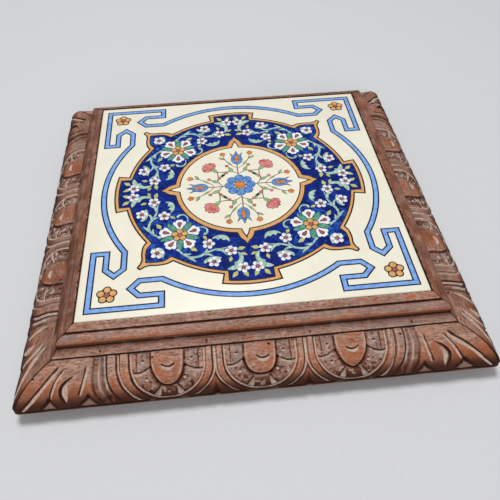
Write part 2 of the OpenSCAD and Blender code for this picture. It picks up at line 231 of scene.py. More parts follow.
def surface(tree, colour, roughness, height, bump, others=None):
    """Wires colour, roughness and a bump of this height in metres into the shader, and sets its other values."""
    relief = put(tree, "ShaderNodeBump", {"Height": height, "Distance": bump, "Strength": 1.0})("Normal")
    wired = {"Base Color": colour, "Roughness": roughness, "Normal": relief}
    send(tree.nodes["Principled BSDF"], {**wired, **(others or {})})


def show_wood(name, light, dark, warm):
    """The oiled hardwood of the rails and mouldings, on the piece's own UV map, with painted shade and grime in its
    carved hollows, wear and painted highlights on its crests, and a tone that is partly painted sheen.
    """
    made, tree, where = new_material(name)
    grain = put(tree, "ShaderNodeUVMap", {}, uv_map="along_the_grain")()
    marks = {label.title(): put(tree, "ShaderNodeAttribute", {}, attribute_name=label)("Fac")
             for label in ("hollow", "crest", "dust", "tone")}
    tone = marks.pop("Tone")
    figure = use(WOOD_FIGURE, {"Vector": grain, "Streak Scale": 1500.0, "Pore Amount": 0.6})
    body = blended(figure("Figure"), dark, light)
    body = blended(figure("Pore") * 0.7, body, WOOD_PORE)
    varied = 0.55 + figure("Cloud") * 0.45
    # Warmer and greyer by the tone: partly the wood's own colour, partly painted sheen on faces turned up to the light
    # and its loss lower down, and the ovolo's painted highlight
    body = blended(tone.stepped(0.5, 1) * varied * warm, body, WOOD_WARM)
    body = blended((1.0 - tone.stepped(0, 0.5)) * (varied * 0.85), body, WOOD_GREY_AND_SHEEN)
    marked_wood = use(WEAR_GRIME_AND_PAINTED_LIGHT, {"Color": body, "Vector": where, **marks})
    surface(tree, marked_wood("Color"), marked_wood("Roughness"), figure("Height"), 0.00025, {"Specular IOR Level": 0.18})
    return made


GRAIN_TURNS = {"X": (0, 0, 0), "Y": (0, 0, math.pi / 2), "Z": (0, math.pi / 2, 0)}


def plain_wood(name, light, dark, axis):
    """Unpolished wood of the parts inside and underneath, with its grain along one axis."""
    made, tree, where = new_material(name)
    grain = put(tree, "ShaderNodeMapping", {"Vector": where, "Rotation": GRAIN_TURNS[axis]})()
    figure = use(WOOD_FIGURE, {"Vector": grain, "Streak Scale": 900.0, "Pore Amount": 0.35})
    body = blended(figure("Pore") * 0.5, blended(figure("Figure"), dark, light), WOOD_PORE)
    marked_wood = use(WEAR_GRIME_AND_PAINTED_LIGHT, {"Color": body, "Vector": where, "Hollow": 0.0, "Crest": 0.25, "Dust": 0.12})
    surface(tree, marked_wood("Color"), marked_wood("Roughness") + 0.15, figure("Height"), 0.00005)
    return made


def glaze(name):
    """A fired colour of the tile. The cobalt is brushed, with paler washes round the large flowers."""
    made, tree, where = new_material(name)
    colour, deep, pool = GLAZES[name]
    fired = use(FIRED_GLAZE, {"Vector": where, "Color": colour, "Deep": deep, "Pool Scale": pool,
                              "Specks": 0.8 if name == "cream_glaze" else 0.0})
    shown, mirror, coat = fired("Color"), 0.3, 0.08
    if name == "cobalt_glaze":
        reach = vector_maths("DISTANCE", vector_maths("ABSOLUTE", where)(), (0.0465, 0.0465, 0.0381))("Value")
        near = 1.0 - reach.stepped(0.012, 0.034)
        brush = noise(where, 210.0, 3.0, 0.5, 1.2).stepped(0.45, 0.7)
        shown, mirror, coat = blended((brush * (near * 0.75 + 0.3)).clamped(), shown, COBALT_WASH), 0.15, 0.03
    surface(tree, shown, fired("Roughness"), fired("Height"), 0.00001,
            {"Specular IOR Level": mirror, "Coat Weight": coat, "Coat Roughness": 0.12})
    return made


def metal(name, colour, dull, roughness):
    """A small fastening, with tarnish."""
    made, tree, where = new_material(name)
    tarnish = noise(where, 900.0, 4.0)
    share = tarnish.stepped(0.4, 0.7)
    surface(tree, blended(share, colour, dull), share * 0.25 + roughness, tarnish, 0.00002, {"Metallic": 1.0})
    return made


def mastic():
    """The bed under the tile: dull, uneven and a little gritty."""
    made, tree, where = new_material("mastic")
    grit = noise(where, 400.0, 5.0, 0.7)
    surface(tree, blended(grit.stepped(0.3, 0.7), (150, 144, 132), (186, 180, 166)), grit * 0.2 + 0.7, grit, 0.0003)
    return made


def pale_floor():
    made, tree, where = new_material("pale_floor")
    paper = noise(where, 300.0, 3.0)
    surface(tree, blended(paper, STUDIO, (220, 221, 224)), paper * 0.1 + 0.7, paper, 0.00005)
    return made


# Number fields used for hand-cut shapes

def eased(value, low, high):
    """Runs smoothly from 0 to 1 as the value goes from low to high."""
    share = np.clip((value - low) / (high - low), 0, 1)
    return share * share * (3 - 2 * share)


def faded(value, low, high):
    """Runs smoothly from 1 to 0 as the value goes from low to high."""
    return 1 - eased(value, low, high)


def line_at(value, core, edge):
    """A line where the value is 0: full to the core, gone at the edge."""
    return faded(np.abs(value), core, edge)


def hump(value, width):
    """A soft hump where the value is 0."""
    return np.exp(-(value / width) ** 2)


def most(*fields):
    """The largest of several fields at each point."""
    return reduce(np.maximum, fields)


def over(mask, upper, lower):
    """Fields, laid over other ones where the mask holds."""
    return [np.where(mask, a, b) for a, b in zip(upper, lower)]


CELLS = 61


def lumps(x, y, size, seed):
    """Smooth random values from -1 to 1, with lumps of about this size."""
    table = np.random.default_rng(seed).uniform(-1, 1, (CELLS, CELLS))
    column, row = x / size + 200.37, y / size + 200.61
    i, j = np.floor(column).astype(int), np.floor(row).astype(int)
    a, b = eased(column - i, 0, 1), eased(row - j, 0, 1)

    def corner(k, m):
        return table[(i + k) % CELLS, (j + m) % CELLS]
    return (corner(0, 0) * (1 - a) + corner(1, 0) * a) * (1 - b) + (corner(0, 1) * (1 - a) + corner(1, 1) * a) * b


def softened(field, across, down):
    """A field averaged over this many cells each way."""
    for axis, reach in ((0, across), (1, down)):
        kernel = np.ones(2 * reach + 1) / (2 * reach + 1)
        padded = np.pad(field, [(reach, reach) if k == axis else (0, 0) for k in (0, 1)], mode="edge")
        field = np.apply_along_axis(lambda line: np.convolve(line, kernel, "valid"), axis, padded)
    return field


def smooth_line(points, steps=6, closed=False):
    """Points of a smooth line through the given ones."""
    given = np.array(points, float)
    count = len(given)
    out = []
    for k in range(count if closed else count - 1):
        a, b, c, d = (given[(k + m) % count if closed else min(max(k + m, 0), count - 1)] for m in (-1, 0, 1, 2))
        for t in np.arange(steps) / steps:
            out.append(0.5 * (2 * b + (c - a) * t + (2 * a - 5 * b + 4 * c - d) * t * t
                              + (3 * b - a - 3 * c + d) * t ** 3))
    return np.array(out if closed else out + [given[-1]])


def along_edge(x, y, start, end):
    """The share along an edge of the point nearest to each place, and the distance to it."""
    (ax, ay), (bx, by) = start, end
    ex, ey = bx - ax, by - ay
    share = np.clip(((x - ax) * ex + (y - ay) * ey) / (ex * ex + ey * ey + 1e-12), 0, 1)
    return share, np.hypot(x - ax - share * ex, y - ay - share * ey)


def ring_distance(x, s, ring):
    """Distance to a closed outline, negative inside it."""
    out = np.full(x.shape, FAR)
    low, high = ring.min(0) - 3, ring.max(0) + 3
    near = (x > low[0]) & (x < high[0]) & (s > low[1]) & (s < high[1])
    px, ps = x[near], s[near]
    best, odd = np.full(px.shape, FAR), np.zeros(px.shape, bool)
    for start, end in zip(ring, np.roll(ring, -1, 0)):
        best = np.minimum(best, along_edge(px, ps, start, end)[1])
        crosses = (start[1] > ps) != (end[1] > ps)
        odd ^= crosses & (px < start[0] + (ps - start[1]) / (end[1] - start[1] + 1e-12) * (end[0] - start[0]))
    out[near] = np.where(odd, -best, best)
    return out


def path_distance(x, s, path):
    """Distance to an open line, and how far along it the nearest point is, as a share."""
    best, share = np.full(x.shape, FAR), np.zeros(x.shape)
    for k, (start, end) in enumerate(zip(path[:-1], path[1:])):
        along, away = along_edge(x, s, start, end)
        share = np.where(away < best, (k + along) / (len(path) - 1), share)
        best = np.minimum(best, away)
    return best, share


def round_end(x, s, half, turn, low, bow=2.0):
    """Distance to a line that runs straight to the turn and closes at low, negative inside; bow is its fullness."""
    drop = low - turn
    q, r = np.maximum(s - turn, 0) / drop, x / half
    k = (r ** bow + q ** bow) ** (1 / bow) + 1e-6
    slope = np.sqrt((r ** (bow - 1) / half) ** 2 + (q ** (bow - 1) / drop) ** 2) / k ** (bow - 1)
    return np.where(s < turn, x - half, (k - 1) / np.maximum(slope, 1e-4))


def pillow(inside, level, rounding, ground):
    """A raised form: its depth below the face falls from the ground at its edge to its level, round as a leaf."""
    q = np.clip(inside / rounding, 0, 1)
    return np.where(inside > 0, level + (ground - level) * (1 - np.sqrt(1 - (1 - q) ** 2)), ground)


# The carving, in mm along the rail and down the face from its top edge

PITCH = 51.0
GROOVE = 0.65
GROUND = 1.6
# Grooves round the shields: half width, where they begin to turn, and their lowest point
INNER_GROOVE, SIDE_GROOVE, OUTER_GROOVE = (20, 8.5, 26.8), (25.2, 11, 30.5), (27, 8, 31.3)
STRIP_X = 16.9
LEAF_ARC = ((9, 11, 13, 15, 17, 19.4), (8.4, 9.8, 11, 11.8, 12.1, 11.6))
WEDGE = smooth_line([(3.9, 19.4), (5.6, 21.2), (8.6, 25), (6.6, 25.7), (4.5, 25.2), (4.1, 22.5)], 5, True)
BAND_EDGE = smooth_line([(84.1, -3), (84.1, 8.2), (83, 16.6), (78.6, 23.9), (73.4, 27.6), (68, 31)])
FLUTE_IN = smooth_line([(84.8, -3), (84.8, 6), (84.6, 13), (83.2, 18.8), (81.4, 22.8), (80.6, 26.6)])
FLUTE_OUT = smooth_line([(90.8, -3), (91.9, 5), (92.4, 11), (92.2, 17), (90.8, 22), (88, 25.6), (84.6, 27.6)])
# The knife's long cuts: their line, half width and depth
CUTS = ((smooth_line([(94.3, 3.6), (95.2, 9), (96.7, 14.4), (98.7, 20.4)]), 0.95, 0.95),
        (smooth_line([(104.9, 5), (108.5, 8.9), (111.6, 13.6), (114.6, 21)]), 0.85, 0.95),
        (smooth_line([(107.4, 3), (111, 7), (117, 13.4), (123.4, 19.8), (131.6, 28)]), 1.25, 1.4))
HOLLOW = smooth_line([(99.5, 9.3), (104, 11), (107.5, 13.8), (109.2, 17), (108.8, 21), (107, 24),
                      (105.4, 24.8), (104.4, 22), (103.9, 18), (103.6, 14.5), (102.4, 11.8)], 5, True)
HOLLOW_SIDE = ((9.3, 11.8, 14.5, 18, 22, 24.8), (99.5, 102.4, 103.6, 103.9, 104.4, 105.4))
NOTCHES = [np.array(ring) for ring in (
    [(94.4, 21), (95.6, 23.4), (97.8, 25.4), (101.5, 28.6), (102.5, 30.6), (87, 30.6), (88, 28.4), (91.2, 25.6),
     (93.3, 23.4)],
    [(115.8, 21.2), (117.2, 23.6), (119.4, 25.8), (121.6, 28.4), (122.6, 30.6), (109.2, 30.6), (110.4, 28.2),
     (112.6, 25.6), (114.6, 23.4)])]
PIN_HOLES = {"front": ((-59.2, 3.2), (5.2, 1.8), (79.5, 3.6)), "right": ((-93.3, 1.6), (34, 2.2)),
             "back": ((-71, 2.4), (22, 1.7)), "left": ((58, 2), (-37, 2.9))}


def shield_edges(x, s, ax):
    """The place across the nearest shield, and the distances to its two grooves, negative inside them."""
    place = (x + PITCH / 2) % PITCH - PITCH / 2
    xf = np.abs(place)
    outer = np.where(ax > PITCH, round_end(np.abs(ax - PITCH), s, *OUTER_GROOVE), round_end(xf, s, *SIDE_GROOVE))
    return place, round_end(xf, s, *INNER_GROOVE), outer


def shields(x, s, ax, seed, on_side_rail):
    """The run of three round-ended shields: a band, leaves and a tongue. Returns depth, dust with painted light,
    painted shade and tone.
    """
    place, inner, outer = shield_edges(x, s, ax)
    xf, left, middle = np.abs(place), place < 0, np.abs(x) < PITCH / 2
    fullness = np.where(middle, 2.5, np.where(x > 0, 1.7, 2.0))
    tongue = round_end(xf, s, 9.0, 5.5, np.where(middle, 18.0, 19.4), fullness)
    fine = lumps(x, s, 1.7, seed + 8)
    # The bands, and the pointed tips between the shields
    depth = np.minimum(GROUND, pillow(np.minimum(inner, -outer) - GROOVE, 0.12, 1.8, GROUND))
    notch = (25.5 - xf) - 2.2 * eased(s, 22.0, 29.0)
    beyond = (outer > 0) & (ax < PITCH)
    tips = pillow(np.minimum(outer - GROOVE, notch), 0.4, 2.2, GROUND + 1.2 * eased(s, 20, 26))
    depth = np.where(beyond, tips, depth)
    # Warmer down the face, partly painted as the sheen falls off where the face turns from the light, and greyer on the
    # side rails as painted sheen
    tone = 0.05 - 0.5 * on_side_rail + (1.0 - 0.4 * on_side_rail) * eased(s, 5.0, 15.0)
    # Painted shade in the notches between the shields and on the groove wall turned from a light at the upper left,
    # weaker on the other wall; pale dust in the groove floors, spreading over the walls on the side rails as painted
    # light, where the painted shade is weaker
    dust, shade = 0.0, faded(notch, 0.1, 0.9) * eased(s, 23.5, 26.5) * beyond
    steep = np.clip(s / 27.0, 0, 1) ** 3
    lit = steep + np.where(left, -1, 1) * np.sqrt(1 - steep ** 2)
    shaded_wall = np.where(lit < 0, 1, -1) * 0.95
    for line in (inner, outer):
        dust = most(dust, (1.0 - 0.4 * steep) * line_at(line, 0.22 + 0.2 * on_side_rail, 0.58 + 0.32 * on_side_rail))
        shade = most(shade, 0.9 * line_at(line - shaded_wall, 0.15, 0.55) * (1 - 0.8 * on_side_rail),
                     0.35 * line_at(line + shaded_wall, 0.15, 0.45) * (1 - on_side_rail))
    # The leaves inside the inner groove
    arc = s - np.interp(xf, *LEAF_ARC)
    panel = 0.95 - 0.55 * hump(arc + 1.5, 1.1) + 0.22 * fine
    panel = np.where(xf > STRIP_X, 0.45, panel) + 0.7 * hump(xf - STRIP_X, 0.4)
    lower = 2.1 - 1.15 * eased(arc, 1.0, 2.4) + 0.42 * fine
    leaves = np.where(arc < 0, panel, lower) + 1.1 * hump(np.maximum(tongue, 0), 0.9)
    wedge = ring_distance(xf, s, WEDGE)
    leaves = most(leaves, 1.2 + 1.3 * eased(-wedge, 0.0, 0.7))
    small = np.minimum(4.0 - xf, s - 20.7)
    bud = (small > 0) & (wedge > 0)
    leaves = np.where(bud, 2.0 - 1.2 * eased(small, 0, 1.2), leaves)
    leaves = np.where(arc > 0.5, most(leaves, 1.9 - 1.2 * eased(-inner - GROOVE, 0, 0.9)), leaves)
    hue = np.where(arc < 0, np.where(xf > STRIP_X, 0.1, -0.85 + 0.3 * fine), -0.5 + 0.8 * fine)
    hue = np.where(bud, 0.75, hue) - 0.25 * on_side_rail
    # Painted light and shade of the leaves: pale lit floors below the leaf's step and in the wedges, painted shadows
    # along the step, the strip, the tongue's side and the wedges, and random pale and dark mottling
    pale = most(0.85 * line_at(arc - 1.0, 0.35, 0.95) * (xf > 10.5), 0.7 * eased(-wedge, 0.05, 0.5),
                0.55 * eased(-lumps(x, s, 1.7, seed + 13), 0.35, 0.9) * (tongue > 1.5))
    dark = most(line_at(arc + 0.15, 0.2, 0.65), 0.6 * line_at(xf - STRIP_X, 0.2, 0.55) * (arc < 0),
                (0.8 - 0.3 * on_side_rail) * faded(tongue, 0.4, np.where(xf < 4.5, 1.6, 3.0)) * (0.4 + 0.6 * eased(s, 6, 13)),
                0.5 * eased(lumps(x, s, 1.5, seed + 12), 0.15, 0.75) * ~bud,
                0.85 * line_at(wedge - 0.35, 0.1, 0.6) * (xf > 4.0))
    # Each eyelet is a dimple with a painted shadow above it and a painted glint below it
    eyelets = ((13.4, 5.2, 0.9, 1), (np.where(left, 11.8, 8.9), 15.4, 0.9, 0.9), (0, 22.4, 0.7, 0.3))
    for u, v, deep, glint in eyelets:
        away = np.hypot(xf - u, s - v)
        leaves = leaves + deep * faded(away, 0.25, 1.0) - 0.2 * hump(away - 1.3, 0.4)
        dark = most(dark, 0.9 * faded(np.hypot(xf - u, s - v + 0.2), 0.3, 0.85))
        pale = most(pale, glint * faded(np.hypot(xf - u, s - v - 0.8), 0.5, 1.05))
    fields = over(inner < -GROOVE, (leaves, pale, dark, hue), (depth, dust, shade, tone))
    # The tongue, with the crescent cut near its top: a painted shadow under its upper edge, and pale painted light on
    # its floor
    aside = place - np.where(middle, 1.4, 0.3)
    upper, under = 5.0 - np.hypot(aside, s - 4.2), 3.7 - np.hypot(aside, s - 8.0)
    nail = (upper < 0) & (under > 0)
    crown = 0.05 + 0.4 * (xf / 9.0) ** 2 + 0.35 * eased(s, 13, 19.2)
    crown = np.where(nail, crown + 1.5 * under / (under - upper + 0.01) * eased(-upper, 0, 0.3), crown)
    return over(tongue < 0, (most(crown, pillow(-tongue, 0.0, 1.0, 2.2)),
                             nail * 1.2 * eased(-upper, 0.5, 0.8) * eased(under, 0, 0.2),
                             line_at(upper + 0.25, 0.2, 0.6) * (under > 0),
                             0.35 + 0.5 * eased(s, 7, 16) + 0.35 * fine), fields)


def end_bay(ax, s, seed, on_side_rail):
    """From the last shield to the mitre: a band, a flute, two lobes with their cuts, and a plain blade."""
    beside = round_end(np.abs(ax - PITCH), s, *OUTER_GROOVE)
    band_x, band_s = BAND_EDGE.T
    band_out, flute_in, flute_out = (np.interp(s, edge[:, 1], edge[:, 0]) for edge in (BAND_EDGE, FLUTE_IN, FLUTE_OUT))
    lean = np.interp(s, band_s, np.hypot(1, np.gradient(band_x, band_s + 1e-9 * np.arange(len(band_s)))))
    band = pillow(np.minimum(beside - GROOVE, (band_out - ax) / lean), 0.1, 1.9, GROUND)
    across = (ax - flute_in) / np.maximum(flute_out - flute_in, 0.3)
    fluted = (across > 0) & (across < 1) & (s < 27.4)
    rough = lumps(ax, s, 1.9, seed + 9)
    flute = 0.85 + 1.15 * np.abs(np.sin(2 * math.pi * np.clip(across, 0, 1))) + 0.2 * rough
    # The lobes and their cuts, each with a painted shadow on one flank and pale painted light on the other
    lobe, dust, shade = 0.05, 0.0, 0.0
    for cut, wide, deep in CUTS:
        away, share = path_distance(ax, s, cut)
        open_w = wide * np.clip(np.minimum(share * 3, 0.45 + (1 - share) * 2.5), 0.1, 1)
        begun = eased(share, 0.02, 0.2)
        lobe = lobe + 0.6 * hump(away, 2.2 * wide) * np.clip(share * 2, 0, 1)
        lobe = most(lobe, deep * faded(away, 0.5 * open_w, 1.15 * open_w) * np.clip(share * 4, 0.2, 1))
        dark_side = path_distance(ax - 0.62 * wide, s + 0.3 * wide, cut)[0]
        pale_side = path_distance(ax + 0.35 * wide, s - 0.15 * wide, cut)[0]
        shade = most(shade, 0.85 * faded(dark_side, 0.15 * wide, 0.6 * wide) * begun)
        dust = most(dust, 1.2 * faded(pale_side, 0.55 * open_w, 0.95 * open_w) * begun)
    # The hollow: a painted shadow along its outer wall and upper part, and pale dust with painted light on its floor
    hollow = ring_distance(ax, s, HOLLOW)
    inner_side = np.interp(s, *HOLLOW_SIDE)
    lobe = np.where(hollow < 0, lobe + 1.7 * eased(-hollow, 0, 0.6) * np.clip((ax - inner_side) / 3.6, 0.12, 1), lobe)
    dust = most(dust, 1.1 * eased(-hollow, 0.55, 1.1) * eased(s, 11.0, 14.5))
    wall = ax - inner_side > 0.9
    shade = most(shade, 0.95 * line_at(hollow + 0.2, 0.15, 0.55) * wall,
                 0.9 * eased(-hollow, 0.0, 0.5) * faded(s, 11.0, 14.5) * wall)
    edge = np.where(s < 26.6, ax - flute_out, np.hypot(ax - 84.8, s - 26.6))
    lobe = lobe + 0.9 * np.exp(-np.maximum(edge, 0) / 0.9)
    # The band, the flute and the lobes side by side
    past = ax > band_out
    lobe = np.where((ax < flute_in + 0.2) & (s < 24), GROUND, lobe)
    # Painted shade along the band's edge, in its groove and in the flute's channels, weaker on the side rails, with
    # pale in the groove floor; both sides get warmer down the face, partly as painted loss of sheen
    rim = most(0.95 * line_at(ax - band_out - 0.4, 0.3, 0.9),
               0.85 * (1 - 0.8 * on_side_rail) * line_at(beside - 0.95, 0.05, 0.45))
    shade = np.where(ax < flute_in, rim, shade)
    band_pale = 0.95 * line_at(beside, 0.22 + 0.33 * on_side_rail, 0.58 + 0.42 * on_side_rail)
    lines = most(line_at(across - 0.06, 0.05, 0.13), line_at(across - 0.56, 0.04, 0.1) * eased(s, 6, 9))
    warmer = eased(s, 8.0, 17.0)
    fields = over(past, (lobe, dust, shade, 0.05 + warmer), (band, band_pale, rim, warmer - 0.1))
    depth, dust, shade, tone = over(fluted, (flute, 1.15 * lines * faded(s, 17, 20.5),
                                             0.3 * line_at(across - 0.28, 0.05, 0.2) + 0.5 * eased(across, 0.84, 0.95),
                                             -0.7 + 0.3 * eased(s, 12, 18) + 0.4 * rough), fields)
    for ring in NOTCHES:
        notch = ring_distance(ax, s, ring)
        depth = depth + 0.9 * hump(np.maximum(notch, 0), 1.5) * (notch > 0)
        depth = np.where(notch < 0, depth + 2.2 * eased(-notch, 0, 0.35), depth)
        shade = most(shade, 0.95 * line_at(notch - 0.1, 0.2, 0.9))
        tone = np.where(notch < 0, -0.8, tone)
        dust = np.where(notch < 0, 0.3 * eased(-notch, 0.6, 1.6), dust)
    return depth, dust, shade, tone


def carving(along, down, seed, side):
    """Depth of the cutting, and where dust with painted light, painted dark shade and a warmer or greyer tone, partly
    painted sheen, lie over one rail's face.
    """
    x = along + 0.35 * lumps(along, down, 17.0, seed) + 0.14 * lumps(along, down, 5.0, seed + 1)
    s = down + 0.35 * lumps(along, down, 21.0, seed + 2) * eased(down, 1, 6)
    ax = np.abs(x) + 3.0 * eased(x, 69.0, 77.0) * faded(x, 106.0, 121.0)
    outside = (ax > PITCH) & (shield_edges(x, s, ax)[2] > 0)
    # The side rails get paler grooves, weaker painted shade and a greyer, stronger tone, as painted light for the way
    # they are lit
    on_side_rail = 1.0 if side in ("left", "right") else 0.0
    depth, dust, shade, tone = over(outside, end_bay(ax, s, seed, on_side_rail), shields(x, s, ax, seed, on_side_rail))
    if side == "front":
        nick = np.hypot((x + 123.2 - 0.5 * (s - 9.8)) / 1.7, (s - 9.8) / 0.5)
        depth = depth + 0.7 * faded(nick, 0.4, 1.1)
        shade = most(shade, 0.7 * faded(nick, 0.5, 1.1))
    between = (np.abs(np.abs(x) - PITCH / 2) - 0.6 * eased(s, 22, 27)) * 0.8
    gap = faded(between, 0.2, 1.0) * eased(s, 24.0, 26.5)
    shade = most(shade, 0.9 * gap)
    shallower = 1 - 0.4 * eased(down, 14, 21) - 0.4 * eased(down, 22, 27)
    depth = depth * (1 + 0.12 * lumps(along, down, 13.0, seed + 3)) * shallower + gap
    depth = np.minimum(depth, 0.72 + 1.3 * np.maximum(down, 0)) + 1.5 * eased(down, 25.5, 30.5) ** 2
    depth += 0.12 * (lumps(along, down, 3.2, seed + 4) + 1) + 0.08 * (lumps(along * 0.6, down, 0.9, seed + 5) + 1)
    clouds = 0.4 * lumps(along, down, 14.0, seed + 6) + 0.35 * lumps(along, down, 3.0, seed + 7)
    # The side rails' tone is strengthened, as painted sheen
    return depth, dust, shade, tone * (1.0 if side == "front" else 1.5) + clouds


# Building pieces

def finished(bm, name, smooth=False):
    """A mesh from a bmesh, with its faces turned outwards."""
    bmesh.ops.recalc_face_normals(bm, faces=bm.faces)
    for face in bm.faces:
        face.smooth = smooth
    mesh = bpy.data.meshes.new(name)
    bm.to_mesh(mesh)
    bm.free()
    return mesh


def linked(name, data):
    """A new object in the scene."""
    made = bpy.data.objects.new(name, data)
    bpy.context.scene.collection.objects.link(made)
    return made


def flat_grid(name, columns, rows, half=1.0):
    """A grid of quads, with the column and the row of each point."""
    bm = bmesh.new()
    bmesh.ops.create_grid(bm, x_segments=columns, y_segments=rows, size=half)
    mesh = finished(bm, name)
    co = np.empty(len(mesh.vertices) * 3)
    mesh.vertices.foreach_get("co", co)
    column, row = (np.unique(np.round(co[axis::3], 5), return_inverse=True)[1] for axis in (0, 1))
    return mesh, column, row


def set_points(mesh, points):
    mesh.vertices.foreach_set("co", np.ascontiguousarray(points * MM, float).ravel())


def set_grain(mesh, along, around):
    """The UV map that the wood's grain follows, in metres."""
    corner = np.empty(len(mesh.loops), int)
    mesh.loops.foreach_get("vertex_index", corner)
    layer = mesh.uv_layers.new(name="along_the_grain")
    layer.data.foreach_set("uv", np.column_stack([along[corner], around[corner]]).ravel())


SEAM_GAP = 2e-7


def closed_up(mesh, crease=38):
    """Joins the seam, fills open ends, turns faces outwards and keeps edges sharper than the crease in degrees."""
    bm = bmesh.new()
    bm.from_mesh(mesh)
    bmesh.ops.remove_doubles(bm, verts=bm.verts, dist=SEAM_GAP)
    rim = [e for e in bm.edges if e.is_boundary]
    if rim:
        ends = bmesh.ops.holes_fill(bm, edges=rim, sides=0)["faces"]
        bmesh.ops.triangulate(bm, faces=ends)
    bmesh.ops.recalc_face_normals(bm, faces=bm.faces)
    for face in bm.faces:
        face.smooth = True
    for edge in bm.edges:
        edge.smooth = edge.calc_face_angle(0.0) < math.radians(crease)
    bm.to_mesh(mesh)
    bm.free()
    return mesh


def piece(mesh, name, materials, slot, *stands_for):
    """Puts a finished mesh in the scene as a piece of the trivet."""
    made = linked(name, mesh)
    for material in materials:
        mesh.materials.append(material)
    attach(made, "root")
    if stands_for:
        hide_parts(*stands_for)


def spun(points, angle, centre=MIDDLE):
    """Points turned about the middle, then moved to a centre. The rounding keeps quarter turns exact."""
    c, s = round(math.cos(angle), 12), round(math.sin(angle), 12)
    x, y = np.asarray(points, float).T
    return np.column_stack([centre[0] + x * c - y * s, centre[1] + x * s + y * c])


def all_round(quarter):
    """A quarter of an outline, repeated on the four sides."""
    return np.concatenate([spun(quarter, k * math.pi / 2) for k in range(4)])


# A mitre runs at 45 degrees: its distance is this share of the distance along the side
MITRE_SHARE = 0.707


def laid_out(columns, out, around):
    """Columns between the mitres, from -1 to 1 and closer at the ends: their place, and for every point the distance
    along the side, round the section, and to the mitre."""
    place = np.linspace(-1, 1, columns + 1)
    for k, gap in enumerate((0, 0.0009, 0.0022, 0.0042)):
        place[k], place[-1 - k] = -1 + gap, 1 - gap
    along = place[:, None] * (TILE_HALF + out)
    to_mitre = (1 - np.abs(place))[:, None] * (TILE_HALF + out) * MITRE_SHARE
    return place, along, np.broadcast_to(around, along.shape), to_mitre


def between_mitres(name, node, slot, material, quarter, place, out, up, along, around, grain_at, marks):
    """Draws a length of the frame between two mitres on one side of the tile, with its grain and marks, as a piece."""
    mesh, column, row = flat_grid(name, len(place) - 1, out.shape[1] - 1)
    out[:, -1], up[:, -1] = out[:, 0], up[:, 0]
    reach = TILE_HALF + out
    level = spun(np.stack([(place[:, None] * reach)[column, row], -reach[column, row]], -1), quarter * math.pi / 2)
    set_points(mesh, np.column_stack([level, up[column, row]]))
    for label, field in marks.items():
        values = np.clip(field, 0, 1)[column, row].astype(np.float32)
        mesh.attributes.new(label, "FLOAT", "POINT").data.foreach_set("value", values)
    set_grain(mesh, (along * MM + 0.4 * quarter + grain_at)[column, row], (around * MM)[column, row])
    piece(closed_up(mesh), name, [material], slot, node)


# The carved face: the middle of its curve, its radius and its length; then the plain band below it
FACE_U, FACE_Z, FACE_R, FACE_L = 14.3, 0.84, 23.96, 27.145
LISTEL_L = 2.7
# The cuts lean outwards as the face does down to here, then turn level by the lower place
LEAN_FROM, LEAN_TO = 24, 30
RAIL_COLUMNS, FACE_ROWS, LISTEL_ROWS = 700, 104, 10
# The rest of a rail's section: out, up, and how much of the corner's rounding reaches it
RAIL_BACK = np.array([(35.75, 8.15, 1), (35.3, 8, 1), (31, 8, 0.6), (22, 8, 0), (8, 8, 0),
                      (-5, 8, 0), (-5, 15, 0), (-12, 15, 0), (-12, 24, 0), (0, 24, 0),
                      (14.25, 24, 0), (14.3, 24.05, 0), (FACE_U, 24.8, 0.0)])
# Painted shade added to each rail, darker on the sides that get less light
RAIL_SIDE_SHADE = {"front": 0.0, "right": 0.3, "back": 0.12, "left": 0.32}


def rail_section():
    """Rows of a rail's section: out, up, the outward direction, down the face, the carved share, and the rounding."""
    face = np.linspace(0, FACE_L, FACE_ROWS + 1)
    down = np.append(face, FACE_L + np.linspace(0, LISTEL_L, LISTEL_ROWS + 1)[1:])
    angle = math.pi / 2 - np.minimum(down, FACE_L) / FACE_R
    lean = math.pi / 2 - np.minimum(down, LEAN_FROM) / FACE_R
    lean *= np.clip((LEAN_TO - down) / (LEAN_TO - LEAN_FROM), 0, 1)
    out, up, rounded = RAIL_BACK.T
    rest = np.ones(len(out))
    return (np.append(FACE_U + FACE_R * np.cos(angle), out),
            np.append(FACE_Z + FACE_R * np.sin(angle) - np.maximum(down - FACE_L, 0), up),
            np.append(np.cos(lean), rest), np.append(np.sin(lean), 0 * rest),
            np.append(down, FACE_L + LISTEL_L + 3.0 * np.cumsum(rest)), np.append(np.ones(len(down)), 0 * rest),
            np.append(3.0 * eased(down, 3, 24) + 0.25, 3.25 * rounded + 0.05))


def corner_drop(place, rounding):
    """How far the outside of a corner is rubbed back, for each column and each row's rounding."""
    outer = TILE_HALF + 36
    turn = np.linspace(0, math.pi / 4, 24)
    away, rise = 1 - np.cos(turn), 1 - np.sin(turn)
    return np.column_stack([np.interp(np.abs(place), (outer - radius * rise) / (outer - radius * away), radius * away,
                                      left=0.0) for radius in rounding])


